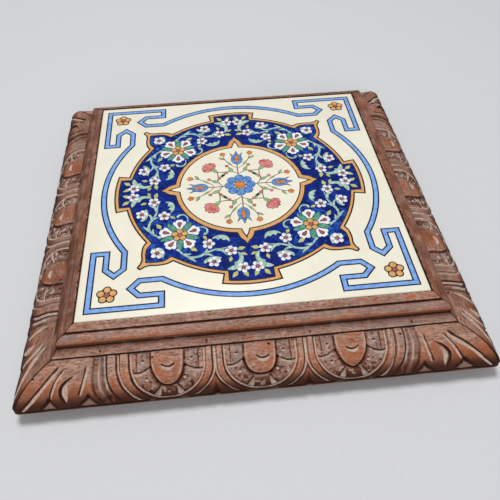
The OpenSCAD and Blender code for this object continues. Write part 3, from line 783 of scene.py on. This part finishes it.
def carved_rail(side, quarter, material):
    """A rail: its section drawn along the side between two mitres, with the carving cut into its face."""
    out, up, lean_out, lean_up, down, carved, rounding = rail_section()
    place, along, s, to_mitre = laid_out(RAIL_COLUMNS, out, down)
    seed = 11 * quarter + 3
    depth, dust, shade, tone = carving(along, s, seed, side)
    for x, y in PIN_HOLES[side]:
        hole = np.hypot(along - x, s - y)
        depth = depth + 1.2 * faded(hole, 0.3, 0.8)
        shade = most(shade, 1.2 * faded(hole, 0.35, 0.85))
        dust = dust * eased(hole, 0.5, 1.0)
    depth = (depth + 0.35 * hump(to_mitre, 0.3)) * carved
    joint = hump(to_mitre, 0.35)
    low_shade = (0.28 * eased(s, 12.0, 18.0) + 0.6 * eased(s, 18.0, 26.0)) * (1 - 0.35 * eased(-tone, 0.2, 0.6))
    shade = most(shade, joint) * (0.9 + 0.25 * lumps(along, s, 1.3, seed + 8)) + low_shade
    # The side rails' pale is strengthened, as painted light on their groove walls
    dust = dust * carved * (1.0 if side == "front" else 1.4)
    # Painted shade by side, left off the pale places
    shade = shade + RAIL_SIDE_SHADE[side] * (0.8 + 0.5 * lumps(along, s, 9.0, seed + 10)) * (dust < 0.4)
    shade = np.where(carved > 0, shade, most(0.2 + 0.15 * lumps(along, s, 12.0, seed + 14), joint))
    final_out = out - depth * lean_out - corner_drop(place, rounding)
    final_up = up - depth * lean_up
    final_up[:, -2] = np.minimum(final_up[:, -2], final_up[:, 0] - 0.02)
    # The hollow mark is painted shade with grime: darkening in recesses and the shade field, lifted where the floor is
    # painted pale. The crest mark is wear, with a painted highlight on convex forms
    cavity = depth - softened(depth, 4, 5)
    pale_lifts_shade = 1 - 0.85 * np.clip(dust, 0, 1) * faded(s, 20, 27)
    rubbed = eased(-cavity, 0.04, 0.4) + 0.25 * eased(1.6 - to_mitre, 0, 1.4) * eased(s, 1, 5)
    between_mitres(f"rail_{side}_carved", f"rail_{side}", "carved_wood", material, quarter, place, final_out, final_up,
                   along, s, 0.0, {"hollow": (0.5 * eased(cavity, 0.12, 0.8) + 0.95 * shade) * pale_lifts_shade,
                                   "crest": rubbed * carved, "dust": dust,
                                   "tone": 0.5 + 0.5 * np.where(carved > 0, tone, -0.3)})


def moulding_section():
    """The cap's section as rows, from its outer foot over the fillet, ovolo and bevel to the tile."""
    rows = [(14.2, 24, 0), (14.2, 24.7, 0), (14.2, 25.2, 0), (14.12, 25.45, 0.3), (13.85, 25.72, 0.6)]
    rows += [(13.85 - k * 0.34, 25.72 + k * 0.311 - 0.18 * math.sin(k / 11.5 * math.pi), 0.8) for k in range(1, 12)]
    rows += [(9.75, 29.25, 0.3), (9.45, 29.32, 0)]
    rows += [(6.0 + 4.3 * math.cos(angle), 31.5 + 4.3 * math.sin(angle), 0.5)
             for angle in np.radians(np.linspace(-29, 103, 27))]
    rows += [(4.85, 35.4, 0), (4.72, 35.25, 0), (4.66, 35.6, 0), (4.66, 36.05, 0.3), (4.58, 36.26, 0.8),
             (4.4, 36.42, 1)]
    rows += [(4.4 - k * 0.42, 36.42 + k * 0.256, 0.8) for k in range(1, 8)]
    rows += [(1.2, 38.36, 1), (0.98, 38.5, 1), (0.78, 38.57, 1), (0.58, 38.57, 1), (0.45, 38.5, 1),
             (0.4, 38.3, 0.6), (0.4, 37.6, 0.2), (0.4, 31, 0), (0.4, 24, 0), (7, 24, 0), (14.2, 24, 0)]
    return np.array(rows)


CAP_COLUMNS, CAP_TOP = 520, 38.6
# Brads: place along the side, and how open each punched hole is, which sets its depth and its painted shade
BRADS = ((-87, 0.25), (-29, 1.1), (29, 0.25), (87, 0.45))
BRAD_OUT, BRAD_R = 12.2, 0.7
# How much longer the sloping outer face is than its width seen from above
FLANK_SLOPE = 1.36
# Painted shade and tone of each moulding, partly old polish and partly for the light its side gets: outer face, ovolo,
# warmth, against the tile, and the painted shadow in the quirk under the bevel
CAP_SHADE_AND_TONE_BY_SIDE = {"front": (0, 0.2, 0, 0.8, 1.4), "right": (0.43, 0.95, 0.7, 0.5, 0),
              "back": (0.25, 0.5, 0.4, 0.8, 0.9), "left": (0.62, 0.62, 0.3, 0.3, 0.1)}


def moulded_cap(side, quarter, material):
    """A length of the plain moulding, mitred, with softened arrises, small dents and its punched brad holes."""
    rows = moulding_section()
    out, up, worn = rows.T
    flank, inner, warmth, at_tile, quirk = CAP_SHADE_AND_TONE_BY_SIDE[side]
    around = np.append(0, np.cumsum(np.hypot(np.diff(out), np.diff(up))))
    place, along, s, to_mitre = laid_out(CAP_COLUMNS, out, around)

    def spot(u, v, width):
        return hump(np.hypot(out - u, up - v), width)
    step = np.roll(rows[:, :2], -1, 0) - np.roll(rows[:, :2], 1, 0)
    step[0] = step[-1] = rows[1, :2] - rows[-2, :2]
    inward = np.column_stack([-step[:, 1], step[:, 0]]) / (np.hypot(*step.T)[:, None] + 1e-9)
    seed = 500 + 7 * quarter
    # Dents, wear and brad holes, as depths below the surface
    bruise = eased(lumps(along, s, 3.0, seed + 2), 0.62, 0.95) * 0.3
    dent = (0.07 * (lumps(along, s, 6.0, seed) + 1) + 0.03 * (lumps(along, s, 1.6, seed + 1) + 1) + bruise) * worn
    nibble = eased(lumps(along, 0 * along, 0.9, seed + 3), 0.05, 0.7) * hump(out - 0.6, 0.55) * (up > 37.9) * 0.5
    brad, hole_open = np.full(along.shape, FAR), np.zeros(along.shape)
    for x, dark in BRADS:
        here = np.hypot(along - x, (out - BRAD_OUT) * FLANK_SLOPE)
        hole_open = np.where(here < brad, dark, hole_open)
        brad = np.minimum(brad, here)
    brad = np.where((up > 25.6) & (up < 29.0), brad, FAR)
    dent = dent + nibble + 0.5 * hole_open * faded(brad, BRAD_R * 0.7, BRAD_R * 1.25)
    dent = dent + 0.3 * hump(to_mitre, 0.28) * (worn > 0)
    # Painted shadows under the bevel, under the ovolo and down the top of the fillet; dark joints at the fillet's foot,
    # the tile and the mitre; dark chips; painted shade in the brad holes and by side; and worn arrises, with a painted
    # highlight on the ovolo's nose
    shade_and_joints = most(quirk * spot(5.05, 35.45, 0.82), 1.2 * spot(9.6, 29.3, 0.75),
                   (0.55 * eased(33.2 - up, 0, 0.9) + 0.45 * eased(31.3 - up, 0, 1.6)) * (out > 9.0) * (up > 29.3),
                   faded(up, 25.45, 25.8) * (out > 13.6), 0.42 * eased(up, 26.4, 29.4) * (up < 29.4) * (out > 9.0),
                   at_tile * (out < 0.8) * (up < 38.45))
    hollow = shade_and_joints + 0.7 * hump(to_mitre, 0.24) + 1.8 * nibble + hole_open * faded(brad, 0.35, 0.85)
    hollow = hollow + flank * np.interp(out, (6.5, 9), (inner, 1.0)) * (0.8 + 0.4 * lumps(along, s, 7.0, seed + 8))
    arris = most(spot(4.5, 36.35, 0.5), spot(13.95, 25.6, 0.5), 0.8 * spot(10.3, 31.5, 1.2), 0.7 * spot(1, 38.5, 0.5))
    # A painted warm highlight along the ovolo, with greyer bands above and below it
    glow = 1.9 * hump(up - 32.9, 1.2) * (out > 8.0) - 0.35 * (up > 34.3) * (up < 36) - 0.2 * (up < 29.2) - 0.1
    tone = glow + warmth + 0.5 * lumps(along, s, 9.0, seed + 6) + 0.6 * lumps(along * 0.5, s, 1.6, seed + 7)
    between_mitres(f"cap_{side}_moulded", f"cap_{side}", "moulding_wood", material, quarter, place,
                   out + dent * inward[:, 0], np.minimum(up + dent * inward[:, 1], CAP_TOP), along, s, 2.0,
                   {"hollow": hollow, "crest": arris + bruise * 2, "tone": 0.5 + 0.5 * tone,
                    "dust": 0.25 * eased(lumps(along, s, 4.0, seed + 5), 0.3, 0.9) * worn})


# The tile's enamels: thin raised cells in millimetres, seen from above

def offset_ring(ring, away):
    """A closed line moved sideways, with mitred corners."""
    before, after = ring - np.roll(ring, 1, 0), np.roll(ring, -1, 0) - ring
    before /= np.hypot(*before.T)[:, None]
    after /= np.hypot(*after.T)[:, None]
    normal = np.column_stack([-(before[:, 1] + after[:, 1]), before[:, 0] + after[:, 0]])
    normal /= np.hypot(*normal.T)[:, None]
    cosine = np.abs(-before[:, 1] * normal[:, 0] + before[:, 0] * normal[:, 1])
    return ring + normal * (away / np.maximum(cosine, 0.35))[:, None]


def inset_ring(ring, away):
    """The outline moved inwards, without the loops that sharp corners would leave."""
    edge = np.roll(ring, -1, 0) - ring
    keep = []
    for point in offset_ring(ring, away):
        share = np.clip(((point - ring) * edge).sum(1) / ((edge ** 2).sum(1) + 1e-12), 0, 1)
        if np.hypot(*(point - ring - edge * share[:, None]).T).min() > 0.93 * away:
            keep.append(point)
    return keep


def prism(bm, ring, low, high, material):
    """A flat solid with this outline."""
    base = bm.faces.new([bm.verts.new((x * MM, y * MM, low * MM)) for x, y in ring])
    base.material_index = material
    raised = bmesh.ops.extrude_face_region(bm, geom=[base])["geom"]
    top = [g for g in raised if isinstance(g, bmesh.types.BMVert)]
    bmesh.ops.translate(bm, verts=top, vec=(0, 0, (high - low) * MM))


FILL_RISE = 0.015


def solid_cell(bm, ring, low, high, rim=0.0, fill=1):
    """One thin cell with this outline: a rim in the line colour, and its fill standing a hair above it."""
    ring = np.asarray(ring, float)
    ring = ring[np.hypot(*(ring - np.roll(ring, 1, 0)).T) > 0.02]
    if np.sum(ring[:, 0] * np.roll(ring[:, 1], -1) - np.roll(ring[:, 0], -1) * ring[:, 1]) < 0:
        ring = ring[::-1]
    if rim:
        prism(bm, ring, low, high - FILL_RISE, 0)
        ring = inset_ring(ring, rim)
    if len(ring) > 2:
        prism(bm, ring, low, high, fill)


def enamel(name, line, fill, *sets):
    """A piece of thin cells: each set gives its outlines, then its low and high faces, its rim and its colour."""
    bm = bmesh.new()
    for rings, *how in sets:
        for ring in rings:
            solid_cell(bm, ring, *how)
    piece(finished(bm, name), name, [line, fill], "tile_glaze")


def four(*outlines):
    """Outlines mirrored over the tile's two axes: four copies of each."""
    return [np.asarray(outline, float) * (fx, fy) for outline in outlines for fx in (1, -1) for fy in (1, -1)]


def eight(*outlines):
    """Outlines mirrored over the tile's two axes and over its diagonals: eight copies of each."""
    return four(*outlines, *(-np.asarray(outline, float)[:, ::-1] for outline in outlines))


def turned(outlines, angles, sides=(1,)):
    """Outlines drawn along the first axis, turned to each angle, and mirrored about it for its other side."""
    return [spun(np.asarray(outline, float) * (1, side), angle)
            for outline in outlines for angle in angles for side in sides]


def lens(start, end, bulge):
    """A leaf between two points."""
    a, b = np.array(start, float), np.array(end, float)
    along, across = b - a, np.array([-(b - a)[1], (b - a)[0]]) * bulge
    left = [a + along * t + across * w for t, w in ((0.2, 0.55), (0.45, 1), (0.78, 0.55))]
    right = [a + along * t - across * w for t, w in ((0.78, 0.5), (0.45, 0.9), (0.2, 0.5))]
    return smooth_line([a] + left + [b] + right, 3, True)


def ribbon(points, start_w, middle_w, end_w):
    """A stroke of the brush along a smooth line, as an outline."""
    path = smooth_line(points, 5)
    step = np.gradient(path, axis=0)
    half = np.interp(np.linspace(0, 1, len(path)), (0, 0.5, 1), (start_w, middle_w, end_w)) / 2
    across = np.column_stack([-step[:, 1], step[:, 0]]) * (half / (np.hypot(*step.T) + 1e-9))[:, None]
    return np.concatenate([path + across, (path - across)[::-1]])


def on_arc(radius, angles, centre=MIDDLE):
    """Points at these angles round a centre."""
    return np.column_stack([centre[0] + radius * np.cos(angles), centre[1] + radius * np.sin(angles)])


def disc(centre, radius, steps=14):
    return on_arc(radius, np.arange(steps) / steps * 2 * math.pi, centre)


def round_flower(centre, petal_at, petal_r, petals=5, turn=0.0):
    """The joined outline of round petals about a centre."""
    half, steps = math.pi / petals, 7
    phi = np.tile(-half + (np.arange(steps) + 0.5) / steps * 2 * half, petals)
    reach = petal_at * np.cos(phi) + np.sqrt(np.maximum(petal_r ** 2 - (petal_at * np.sin(phi)) ** 2, 0.01))
    return on_arc(reach, turn + np.repeat(np.arange(petals), steps) * 2 * half + phi, centre)


def rayed(half_outline, centre=MIDDLE, angle=0.0):
    """A form that is even about a ray from a centre: its half outline is given as (along, half width)."""
    half = np.array(half_outline, float)
    ring = np.concatenate([half, (half * (1, -1))[::-1][1:]])
    return spun(smooth_line(ring, 3, True), angle, centre)


def petals(centre, turn, at, radius):
    """Five separate round petals about a centre."""
    half = [(at - radius, 0.0), (at - radius * 0.75, radius * 0.6), (at, radius), (at + radius * 0.8, radius * 0.65),
            (at + radius, 0.0)]
    return [rayed(half, centre, turn + k * 2 * math.pi / 5) for k in range(5)]


def golden_flowers(at_corner, at, radius, rim, low, high):
    """Four flowers of five round petals on a dark ground that shows as their outline: the sets of their cells."""
    centres, upright = four(at_corner), math.pi / 2
    grounds = [round_flower(centre, at, radius, turn=upright) for centre in centres]
    inner = min(radius - rim, at * math.sin(math.pi / 5) - rim / 3)
    discs = [disc(middle, inner) for centre in centres
             for middle in on_arc(at, upright + np.arange(5) * 2 * math.pi / 5, centre)]
    return (grounds, low, high - 0.02, 0.0, 0), (discs, low, high)


PETAL = [(4.2, 0.9), (6.2, 1.9), (8.3, 3.3), (9.6, 4.3), (10.9, 4.2), (11.7, 3.2), (11.5, 2.5), (12.6, 2.1),
         (13.3, 1.1), (13.2, 0)]
SEPAL = [(4.2, 1.1), (5.8, 2.1), (6.8, 1.7), (8.2, 2.3), (9.4, 1.8), (10.6, 1.6), (12.8, 0)]
HEART = [(6.4, 0.3), (8, 0.95), (9.6, 1.5), (10.8, 1.15), (11.3, 0)]
LARGE_AT, CORNER_AT, TILE_CORNER_AT = (41.4, -41.7), (55.2, -55.2), (83.3, -83.3)
PETAL_TURNS = [math.radians(a) for a in (90, 18, -54, -126, 162)]
SMALL_FLOWERS = [((51.1, -23.9), 0.3), ((57.9, -10.4), 0.8), ((71.7, -4.2), 0.1), ((65.6, -21.2), 0.5)]
STEM_LINE = [(53.3, -42.8), (57.2, -40), (60, -36.7), (60.8, -32.8), (60, -28.9), (58.1, -25.6), (55.9, -20),
             (55.6, -16.1), (55, -12.8), (53.3, -9.2)]
SCROLLS = [
    [(57, -39.6), (57.4, -36.8), (57.9, -34.2), (59.3, -37), (59.4, -38.6)],
    [(60.2, -37), (60.6, -34.4), (62.2, -32.9), (65, -31.8), (63.4, -34.2), (61.6, -36.6)],
    [(58.4, -26.3), (58.9, -23.2), (60.6, -21.3), (62.9, -20.2), (61.4, -22.4), (60.3, -24.4), (59.9, -27)],
    [(57.6, -27.4), (56.2, -26), (54.4, -25.2), (56, -24.4), (57.9, -25.2)],
    [(55.1, -18.2), (56, -15.4), (58.4, -13.8), (61.8, -13.1), (59.4, -15.2), (57.8, -16.8), (57, -19.6)],
    [(62.9, -16.4), (64.4, -18.6), (64, -21.4), (64.9, -24.4), (66.6, -26.8), (64.4, -27.4), (62, -24.8),
     (61.2, -21.6), (61.8, -18.4)],
    [(50.9, -10.9), (47.6, -10.9), (45, -13), (44.2, -16.4), (45, -19.8), (47.4, -22), (47, -19.4), (48.6, -18),
     (47.4, -16.4), (49, -14.8), (48.8, -12.8)],
    [(59.2, -6.6), (61.6, -4), (65.4, -3.5), (69.2, -4.7), (72.2, -7.5), (73.2, -10.6), (72.2, -14), (70.2, -11.6),
     (69.2, -9.4), (67.2, -9.4), (66.4, -7.4), (64.2, -6.2), (61.8, -6.4)],
    [(53.9, -44), (52.7, -42.8), (53.1, -41), (54.9, -41.1), (55.9, -41.8)]]
HOOK = [(36.2, -31.2), (36.3, -27.2), (38.2, -24.5), (41, -24.3), (42.5, -25.4), (42, -26.6)]
CORNER_CALYX = [(51.8, -59.6), (50.6, -55.6), (51.6, -52.2), (54.6, -51), (59.2, -51.6), (56.4, -53.2), (54.6, -53.8),
                (54.2, -55.8), (53.2, -57.2)]
LITTLE_LEAVES = [((52.9, -35.6), (56.1, -30.7)), ((43.7, -26.9), (47.9, -24.8)), ((62.3, -10.8), (67, -11.9)),
                 ((57.5, -7.1), (56, -1.5)), ((60.3, -5), (62.4, -0.9)), ((74, -4.5), (79, -1.9)),
                 ((74, -7.8), (78.8, -11.3))]
# The middle's design, drawn along the first axis
STEMS = [([(12, 0.6), (14.6, 4.6), (14.2, 9.6), (14.6, 14.6)], 0.5, 0.8, 0.6),
         ([(17.5, 0.4), (22, 5.2), (28, 8.6), (32.6, 9.6)], 0.4, 0.6, 0.4)]
LEAVES = [((13.5, 3.6), (19.6, 6.6), 0.24), ((13.6, 8.4), (9, 12.4), -0.2), ((20.2, 3.6), (25.6, 7.4), -0.14),
          ((27.4, 8.6), (30.4, 12.8), 0.22)]
TULIP = [(21.5, 0.5), (23.2, 3), (26.8, 4.2), (30.8, 3.5), (34.8, 4.7), (32, 1.9), (36.6, 0)]
TULIP_HEART = [(24, 0.4), (26.4, 1.7), (29, 1.5), (32.6, 0)]
DAISY_PETAL = [(3.4, 0.6), (5.4, 2.3), (8, 3.2), (9.8, 2.2), (10.6, 0)]
PINK = [(22.4, 0.5), (24.4, 1.5), (26, 4.4), (28.8, 5.9), (30, 4.7), (31.6, 4.3), (31.8, 2.6), (33.4, 1.9), (32.8, 0)]
PINK_CALYX = [(20.6, 0.3), (22, 1.3), (24.6, 1.5), (25.8, 0.6), (26.2, 0)]
AXES = [k * math.pi / 2 for k in range(4)]
DIAGONALS = [a + math.pi / 4 for a in AXES]
BOTH = (1, -1)
OUTER_CORNER = ([(62.5, 45.6), (64.4, 49.4), (65, 55), (64.7, 59.4), (65.6, 62.6)],
                [(66.9, 64.4), (67.1, 65.9), (66.2, 66.2)])
INNER_CORNER = ([(58.9, 46.7), (61.7, 50.6), (62.5, 55), (62.3, 58.6)], [(62.2, 62.2)])


def medallion_ring(corner, tab_out, tab_side, root, arc_r):
    """The medallion's outline: four tabs on the axes, four ogee corners on the diagonals, and arcs between them."""
    curve, point = corner
    corner = np.concatenate([smooth_line(curve, 3), point])
    start, stop = math.atan2(root[1], root[0]), math.atan2(corner[0][1], corner[0][0])
    eighth = np.concatenate([on_arc(tab_out, np.linspace(0, math.asin(tab_side / tab_out), 6)), [root],
                             on_arc(arc_r, np.linspace(start, stop, 8)[1:-1]), corner])
    return all_round(np.concatenate([eighth, eighth[-2:0:-1, ::-1]]))


def centre_ring(radius, base, shoulder, tip):
    """The round middle, with an ogee point on each axis."""
    point = smooth_line([base, shoulder, (shoulder[0] * 0.45, (shoulder[1] + tip) / 2 - 0.6), (0.0, tip)], 4)
    start = math.atan2(base[1], base[0])
    arc = on_arc(radius, np.linspace(math.pi / 2 - start, start, 14)[1:-1])
    return all_round(np.concatenate([point[::-1, ::-1], arc, point])[:-1])


def fret_path():
    """The middle of the pale blue fret, all round the tile."""
    corner = np.array([(93.5, 93.5), (52.3, 93.5), (52.3, 85.5), (65.2, 85.5), (70.1, 80.2), (65.2, 74.9), (52, 74.9)])
    start = math.atan2(corner[-1][1], corner[-1][0])
    arc = on_arc(math.hypot(*corner[-1]), np.linspace(start, math.pi - start, 41)[1:-1])
    return all_round(np.concatenate([corner, arc, (corner[1:] * (-1, 1))[::-1]]))


def fret_band(line, fill):
    """The pale blue fret with its dark edges, as one closed band."""
    path = fret_path()
    half = [(2.1, 37.98), (2.1, 38.03), (1.95, 38.055), (1.2, 38.06), (1.08, 38.075)]
    rows = [(-away, up) for away, up in half] + [(0, 38.09)] + half[::-1] + [(0, 37.97), (-2.1, 37.98)]
    mesh, column, row = flat_grid("fret_band", len(path), len(rows) - 1)
    lines = np.stack([offset_ring(path, away) for away, up in rows], 1)
    heights = np.array(rows)[:, 1]
    for face in mesh.polygons:
        face.material_index = 3 <= min(row[v] for v in face.vertices) <= 6
    set_points(mesh, np.column_stack([lines[column % len(path), row], heights[row]]))
    piece(closed_up(mesh, 60), "fret_band", [line, fill], "tile_glaze")


def glazed_tile(material):
    """The tile's body: a slab with softly rounded glazed edges."""
    bm = bmesh.new()
    wide, middle = 2 * TILE_HALF * MM, (TILE_TOP + TILE_LOW) / 2 * MM
    size = Matrix.Diagonal((wide, wide, (TILE_TOP - TILE_LOW) * MM, 1))
    bmesh.ops.create_cube(bm, size=1.0, matrix=Matrix.Translation((0, 0, middle)) @ size)
    bmesh.ops.bevel(bm, geom=bm.edges[:], offset=TILE_ARRIS * MM, segments=4, affect="EDGES", profile=0.5, material=-1)
    piece(finished(bm, "tile_glazed", True), "tile_glazed", [material], "tile_glaze", "tile")


# The enamels' heights: where the border's cells and the middle's cells begin, and how high each layer stands
LOW, MIDDLE_LOW = 38.05, 38.09
STEM_Z, LEAF_Z, PETAL_Z, EYE_Z, MIDDLE_Z, MIDDLE_TOP = 38.11, 38.13, 38.15, 38.18, 38.19, 38.22


def build_tile():
    """The tile and its enamels, in the order in which they are laid on each other."""
    made = {name: glaze(name) for name in GLAZES}
    navy, umber, washed = made["navy_line"], made["umber_line"], made["washed_line"]
    ochre = made["ochre_enamel"]
    glazed_tile(made["cream_glaze"])
    fret_band(navy, made["pale_blue_enamel"])
    enamel("medallion_border", umber, ochre,
           ([medallion_ring(OUTER_CORNER, 84.5, 17.9, (75.5, 16.5), 77.3)], 37.98, 38.05, 1.0))
    enamel("cobalt_field", umber, made["cobalt_glaze"],
           ([medallion_ring(INNER_CORNER, 81.9, 13.7, (73.7, 13.6), 74.9)], 38.0, 38.08, 0.7))
    enamel("middle_border", umber, ochre, ([centre_ring(44.3, (5.8, 43.9), (4, 48.6), 54.6)], 38.02, 38.11, 0.7))
    enamel("middle_field", umber, made["cream_glaze"],
           ([centre_ring(41.2, (2.9, 41.1), (1.7, 45), 49.6)], 38.04, 38.14, 0.8))
    enamel("middle_stems", umber, made["bark_enamel"],
           (turned([ribbon([(9.5, 0), (16, 0.4), (22.5, 0)], 0.9, 0.7, 0.8)], AXES), MIDDLE_LOW, 38.17),
           (turned([ribbon(*STEMS[0])], AXES, BOTH), MIDDLE_LOW, 38.165),
           (turned([ribbon(*STEMS[1])], AXES, BOTH), MIDDLE_LOW, 38.16))
    enamel("middle_leaves", umber, made["moss_enamel"],
           (turned([lens(*leaf) for leaf in LEAVES], AXES, BOTH), MIDDLE_LOW, EYE_Z, 0.2),
           (turned([rayed(PINK_CALYX)], DIAGONALS), MIDDLE_LOW, 38.215, 0.2))
    enamel("middle_blue", navy, made["cornflower_enamel"],
           (turned([rayed(DAISY_PETAL)], AXES + DIAGONALS), MIDDLE_LOW, EYE_Z, 0.28),
           (turned([rayed(TULIP)], AXES), MIDDLE_LOW, MIDDLE_Z, 0.28))
    enamel("middle_rose", umber, made["rose_enamel"],
           (turned([rayed(PINK)], DIAGONALS), MIDDLE_LOW, MIDDLE_Z, 0.28),
           (turned([disc((8.2, 13.6), 1.35), disc((20.6, 7.6), 1.35)], AXES, BOTH), MIDDLE_LOW, 38.2, 0.22))
    enamel("middle_gold", umber, made["amber_enamel"],
           ([round_flower(MIDDLE, 2.3, 1.7, 6)], MIDDLE_LOW, MIDDLE_TOP, 0.3),
           (turned([rayed(TULIP_HEART)], AXES), MIDDLE_LOW, MIDDLE_TOP, 0.22),
           (turned([round_flower((33.6, 9.8), 1.3, 0.95)], AXES, BOTH), MIDDLE_LOW, MIDDLE_Z, 0.22))
    enamel("scrolls", washed, made["pale_green_enamel"],
           (eight(ribbon(STEM_LINE, 1.5, 2.0, 0.5), ribbon(HOOK, 0.9, 1.6, 1.9)), LOW, STEM_Z, 0.2),
           (eight(*(smooth_line(scroll, 4, True) for scroll in SCROLLS)), LOW, LEAF_Z, 0.2),
           (four(smooth_line(CORNER_CALYX, 4, True)), LOW, LEAF_Z, 0.16))
    enamel("little_leaves", washed, made["leaf_enamel"],
           (eight(*(lens(start, end, 0.29) for start, end in LITTLE_LEAVES)), LOW, 38.14, 0.16))
    enamel("sepals", washed, made["green_enamel"],
           (four(*(rayed(SEPAL, LARGE_AT, angle + math.pi / 5) for angle in PETAL_TURNS)), LOW, 38.14, 0.2))
    small = [petal for centre, turn in SMALL_FLOWERS for petal in petals(centre, turn, 2.55, 1.52)]
    enamel("white_petals", washed, made["white_enamel"],
           (four(*(rayed(PETAL, LARGE_AT, angle) for angle in PETAL_TURNS)), LOW, PETAL_Z, 0.14),
           (eight(*small) + four(*petals(CORNER_AT, -math.pi / 4 - 1.2, 2.8, 1.65)), LOW, PETAL_Z, 0.1))
    enamel("golden_flowers", umber, ochre,
           *golden_flowers(LARGE_AT, 3.25, 2.25, 0.4, LOW, EYE_Z + 0.02),
           *golden_flowers(TILE_CORNER_AT, 3.6, 2.6, 0.7, 37.98, 38.1))
    enamel("flower_hearts", umber, made["rust_enamel"],
           (four(*(rayed(HEART, LARGE_AT, angle) for angle in PETAL_TURNS)), LOW, EYE_Z, 0.4),
           (four(disc(LARGE_AT, 1.7)), LOW, MIDDLE_TOP, 0.32),
           (eight(*(disc(centre, 1.25, 10) for centre, turn in SMALL_FLOWERS)), LOW, EYE_Z, 0.3),
           (four(disc(CORNER_AT, 1.35, 10)), LOW, EYE_Z, 0.3),
           (four(disc(TILE_CORNER_AT, 1.75)), 38.0, 38.13, 0.36))


def build_frame():
    """The rails and the moulding."""
    carved_wood = show_wood("carved_wood", (202, 158, 138), (112, 72, 54), 0.82)
    moulding_wood = show_wood("moulding_wood", (200, 154, 136), (110, 68, 52), 0.9)
    for quarter, side in enumerate(SIDES):
        carved_rail(side, quarter, carved_wood)
        moulded_cap(side, quarter, moulding_wood)


def build_inside():
    """Gives the CAD nodes under and inside the frame their finishes, by the start of their names."""
    finishes = {"tile_bed": mastic(),
                "tile_board": plain_wood("board_wood", (196, 160, 118), (162, 122, 82), "X"),
                "base_panel": plain_wood("panel_wood", (178, 138, 98), (138, 98, 66), "X"),
                "mitre_spline": plain_wood("spline_wood", (150, 106, 78), (112, 72, 52), "Y"),
                "corner_block": plain_wood("block_wood", (188, 150, 108), (150, 110, 74), "Z"),
                "foot": plain_wood("foot_wood", (150, 100, 76), (102, 60, 44), "Z"),
                "base_screws": metal("screw_brass", (196, 160, 88), (128, 96, 52), 0.3),
                "cap_brads": metal("brad_steel", (78, 66, 58), (48, 34, 28), 0.55)}
    for start, material in finishes.items():
        for name, node in nodes.items():
            if name.startswith(start):
                node.data.materials.clear()
                node.data.materials.append(material)


# The studio

CAMERA_AT = Vector((-0.01721, -0.26325, 0.27650))
CAMERA_FORWARD = Vector((0.05729, 0.64990, -0.75786))
CAMERA_RIGHT = Vector((0.99476, -0.10158, -0.01191))
AIM = Vector((0, 0, 0.02))
FLOOR_HALF = 3.0
# Soft lamps from above and the left: place, size and power
LAMPS = {"key": ((-0.12, 0.36, 1.82), 0.55, 21.0), "front": ((0.05, -1.6, 0.9), 0.8, 9.0)}


def set_camera():
    """The photograph's viewpoint."""
    data = bpy.data.cameras.new("camera")
    data.sensor_width, data.lens, data.clip_start = 36.0, 37.37, 0.01
    camera = linked("camera", data)
    back = -CAMERA_FORWARD.normalized()
    right = (CAMERA_RIGHT - CAMERA_RIGHT.dot(back) * back).normalized()
    turn = Matrix((right, back.cross(right), back)).transposed()
    camera.matrix_world = Matrix.Translation(CAMERA_AT) @ turn.to_4x4()
    bpy.context.scene.camera = camera


def set_stage():
    """A pale floor that keeps the shadow."""
    mesh = flat_grid("floor", 8, 8, FLOOR_HALF)[0]
    mesh.materials.append(pale_floor())
    linked("floor", mesh)


def set_light():
    """The lamps, and a plain pale surround that lights less than it shows."""
    for name, (at, size, power) in LAMPS.items():
        data = bpy.data.lights.new(name, "AREA")
        data.shape, data.size, data.energy = "SQUARE", size, power
        lamp = linked(name, data)
        lamp.location = at
        lamp.rotation_euler = (AIM - Vector(at)).to_track_quat("-Z", "Y").to_euler()
    world = bpy.data.worlds.new("surround")
    bpy.context.scene.world = world
    world.use_nodes = True
    tree = world.node_tree
    tree.nodes.clear()
    ray = put(tree, "ShaderNodeLightPath", {})
    seen = maths("MAXIMUM", ray("Is Camera Ray"), ray("Is Transmission Ray"))
    glow = put(tree, "ShaderNodeBackground", {"Color": (255, 255, 255), "Strength": 0.25})()
    pale = put(tree, "ShaderNodeBackground", {"Color": STUDIO, "Strength": 1.0})()
    both = put(tree, "ShaderNodeMixShader", {0: seen, 1: glow, 2: pale})()
    put(tree, "ShaderNodeOutputWorld", {"Surface": both})


bpy.context.scene.view_settings.view_transform = "Standard"
set_camera()
build_frame()
build_tile()
build_inside()
set_stage()
set_light()
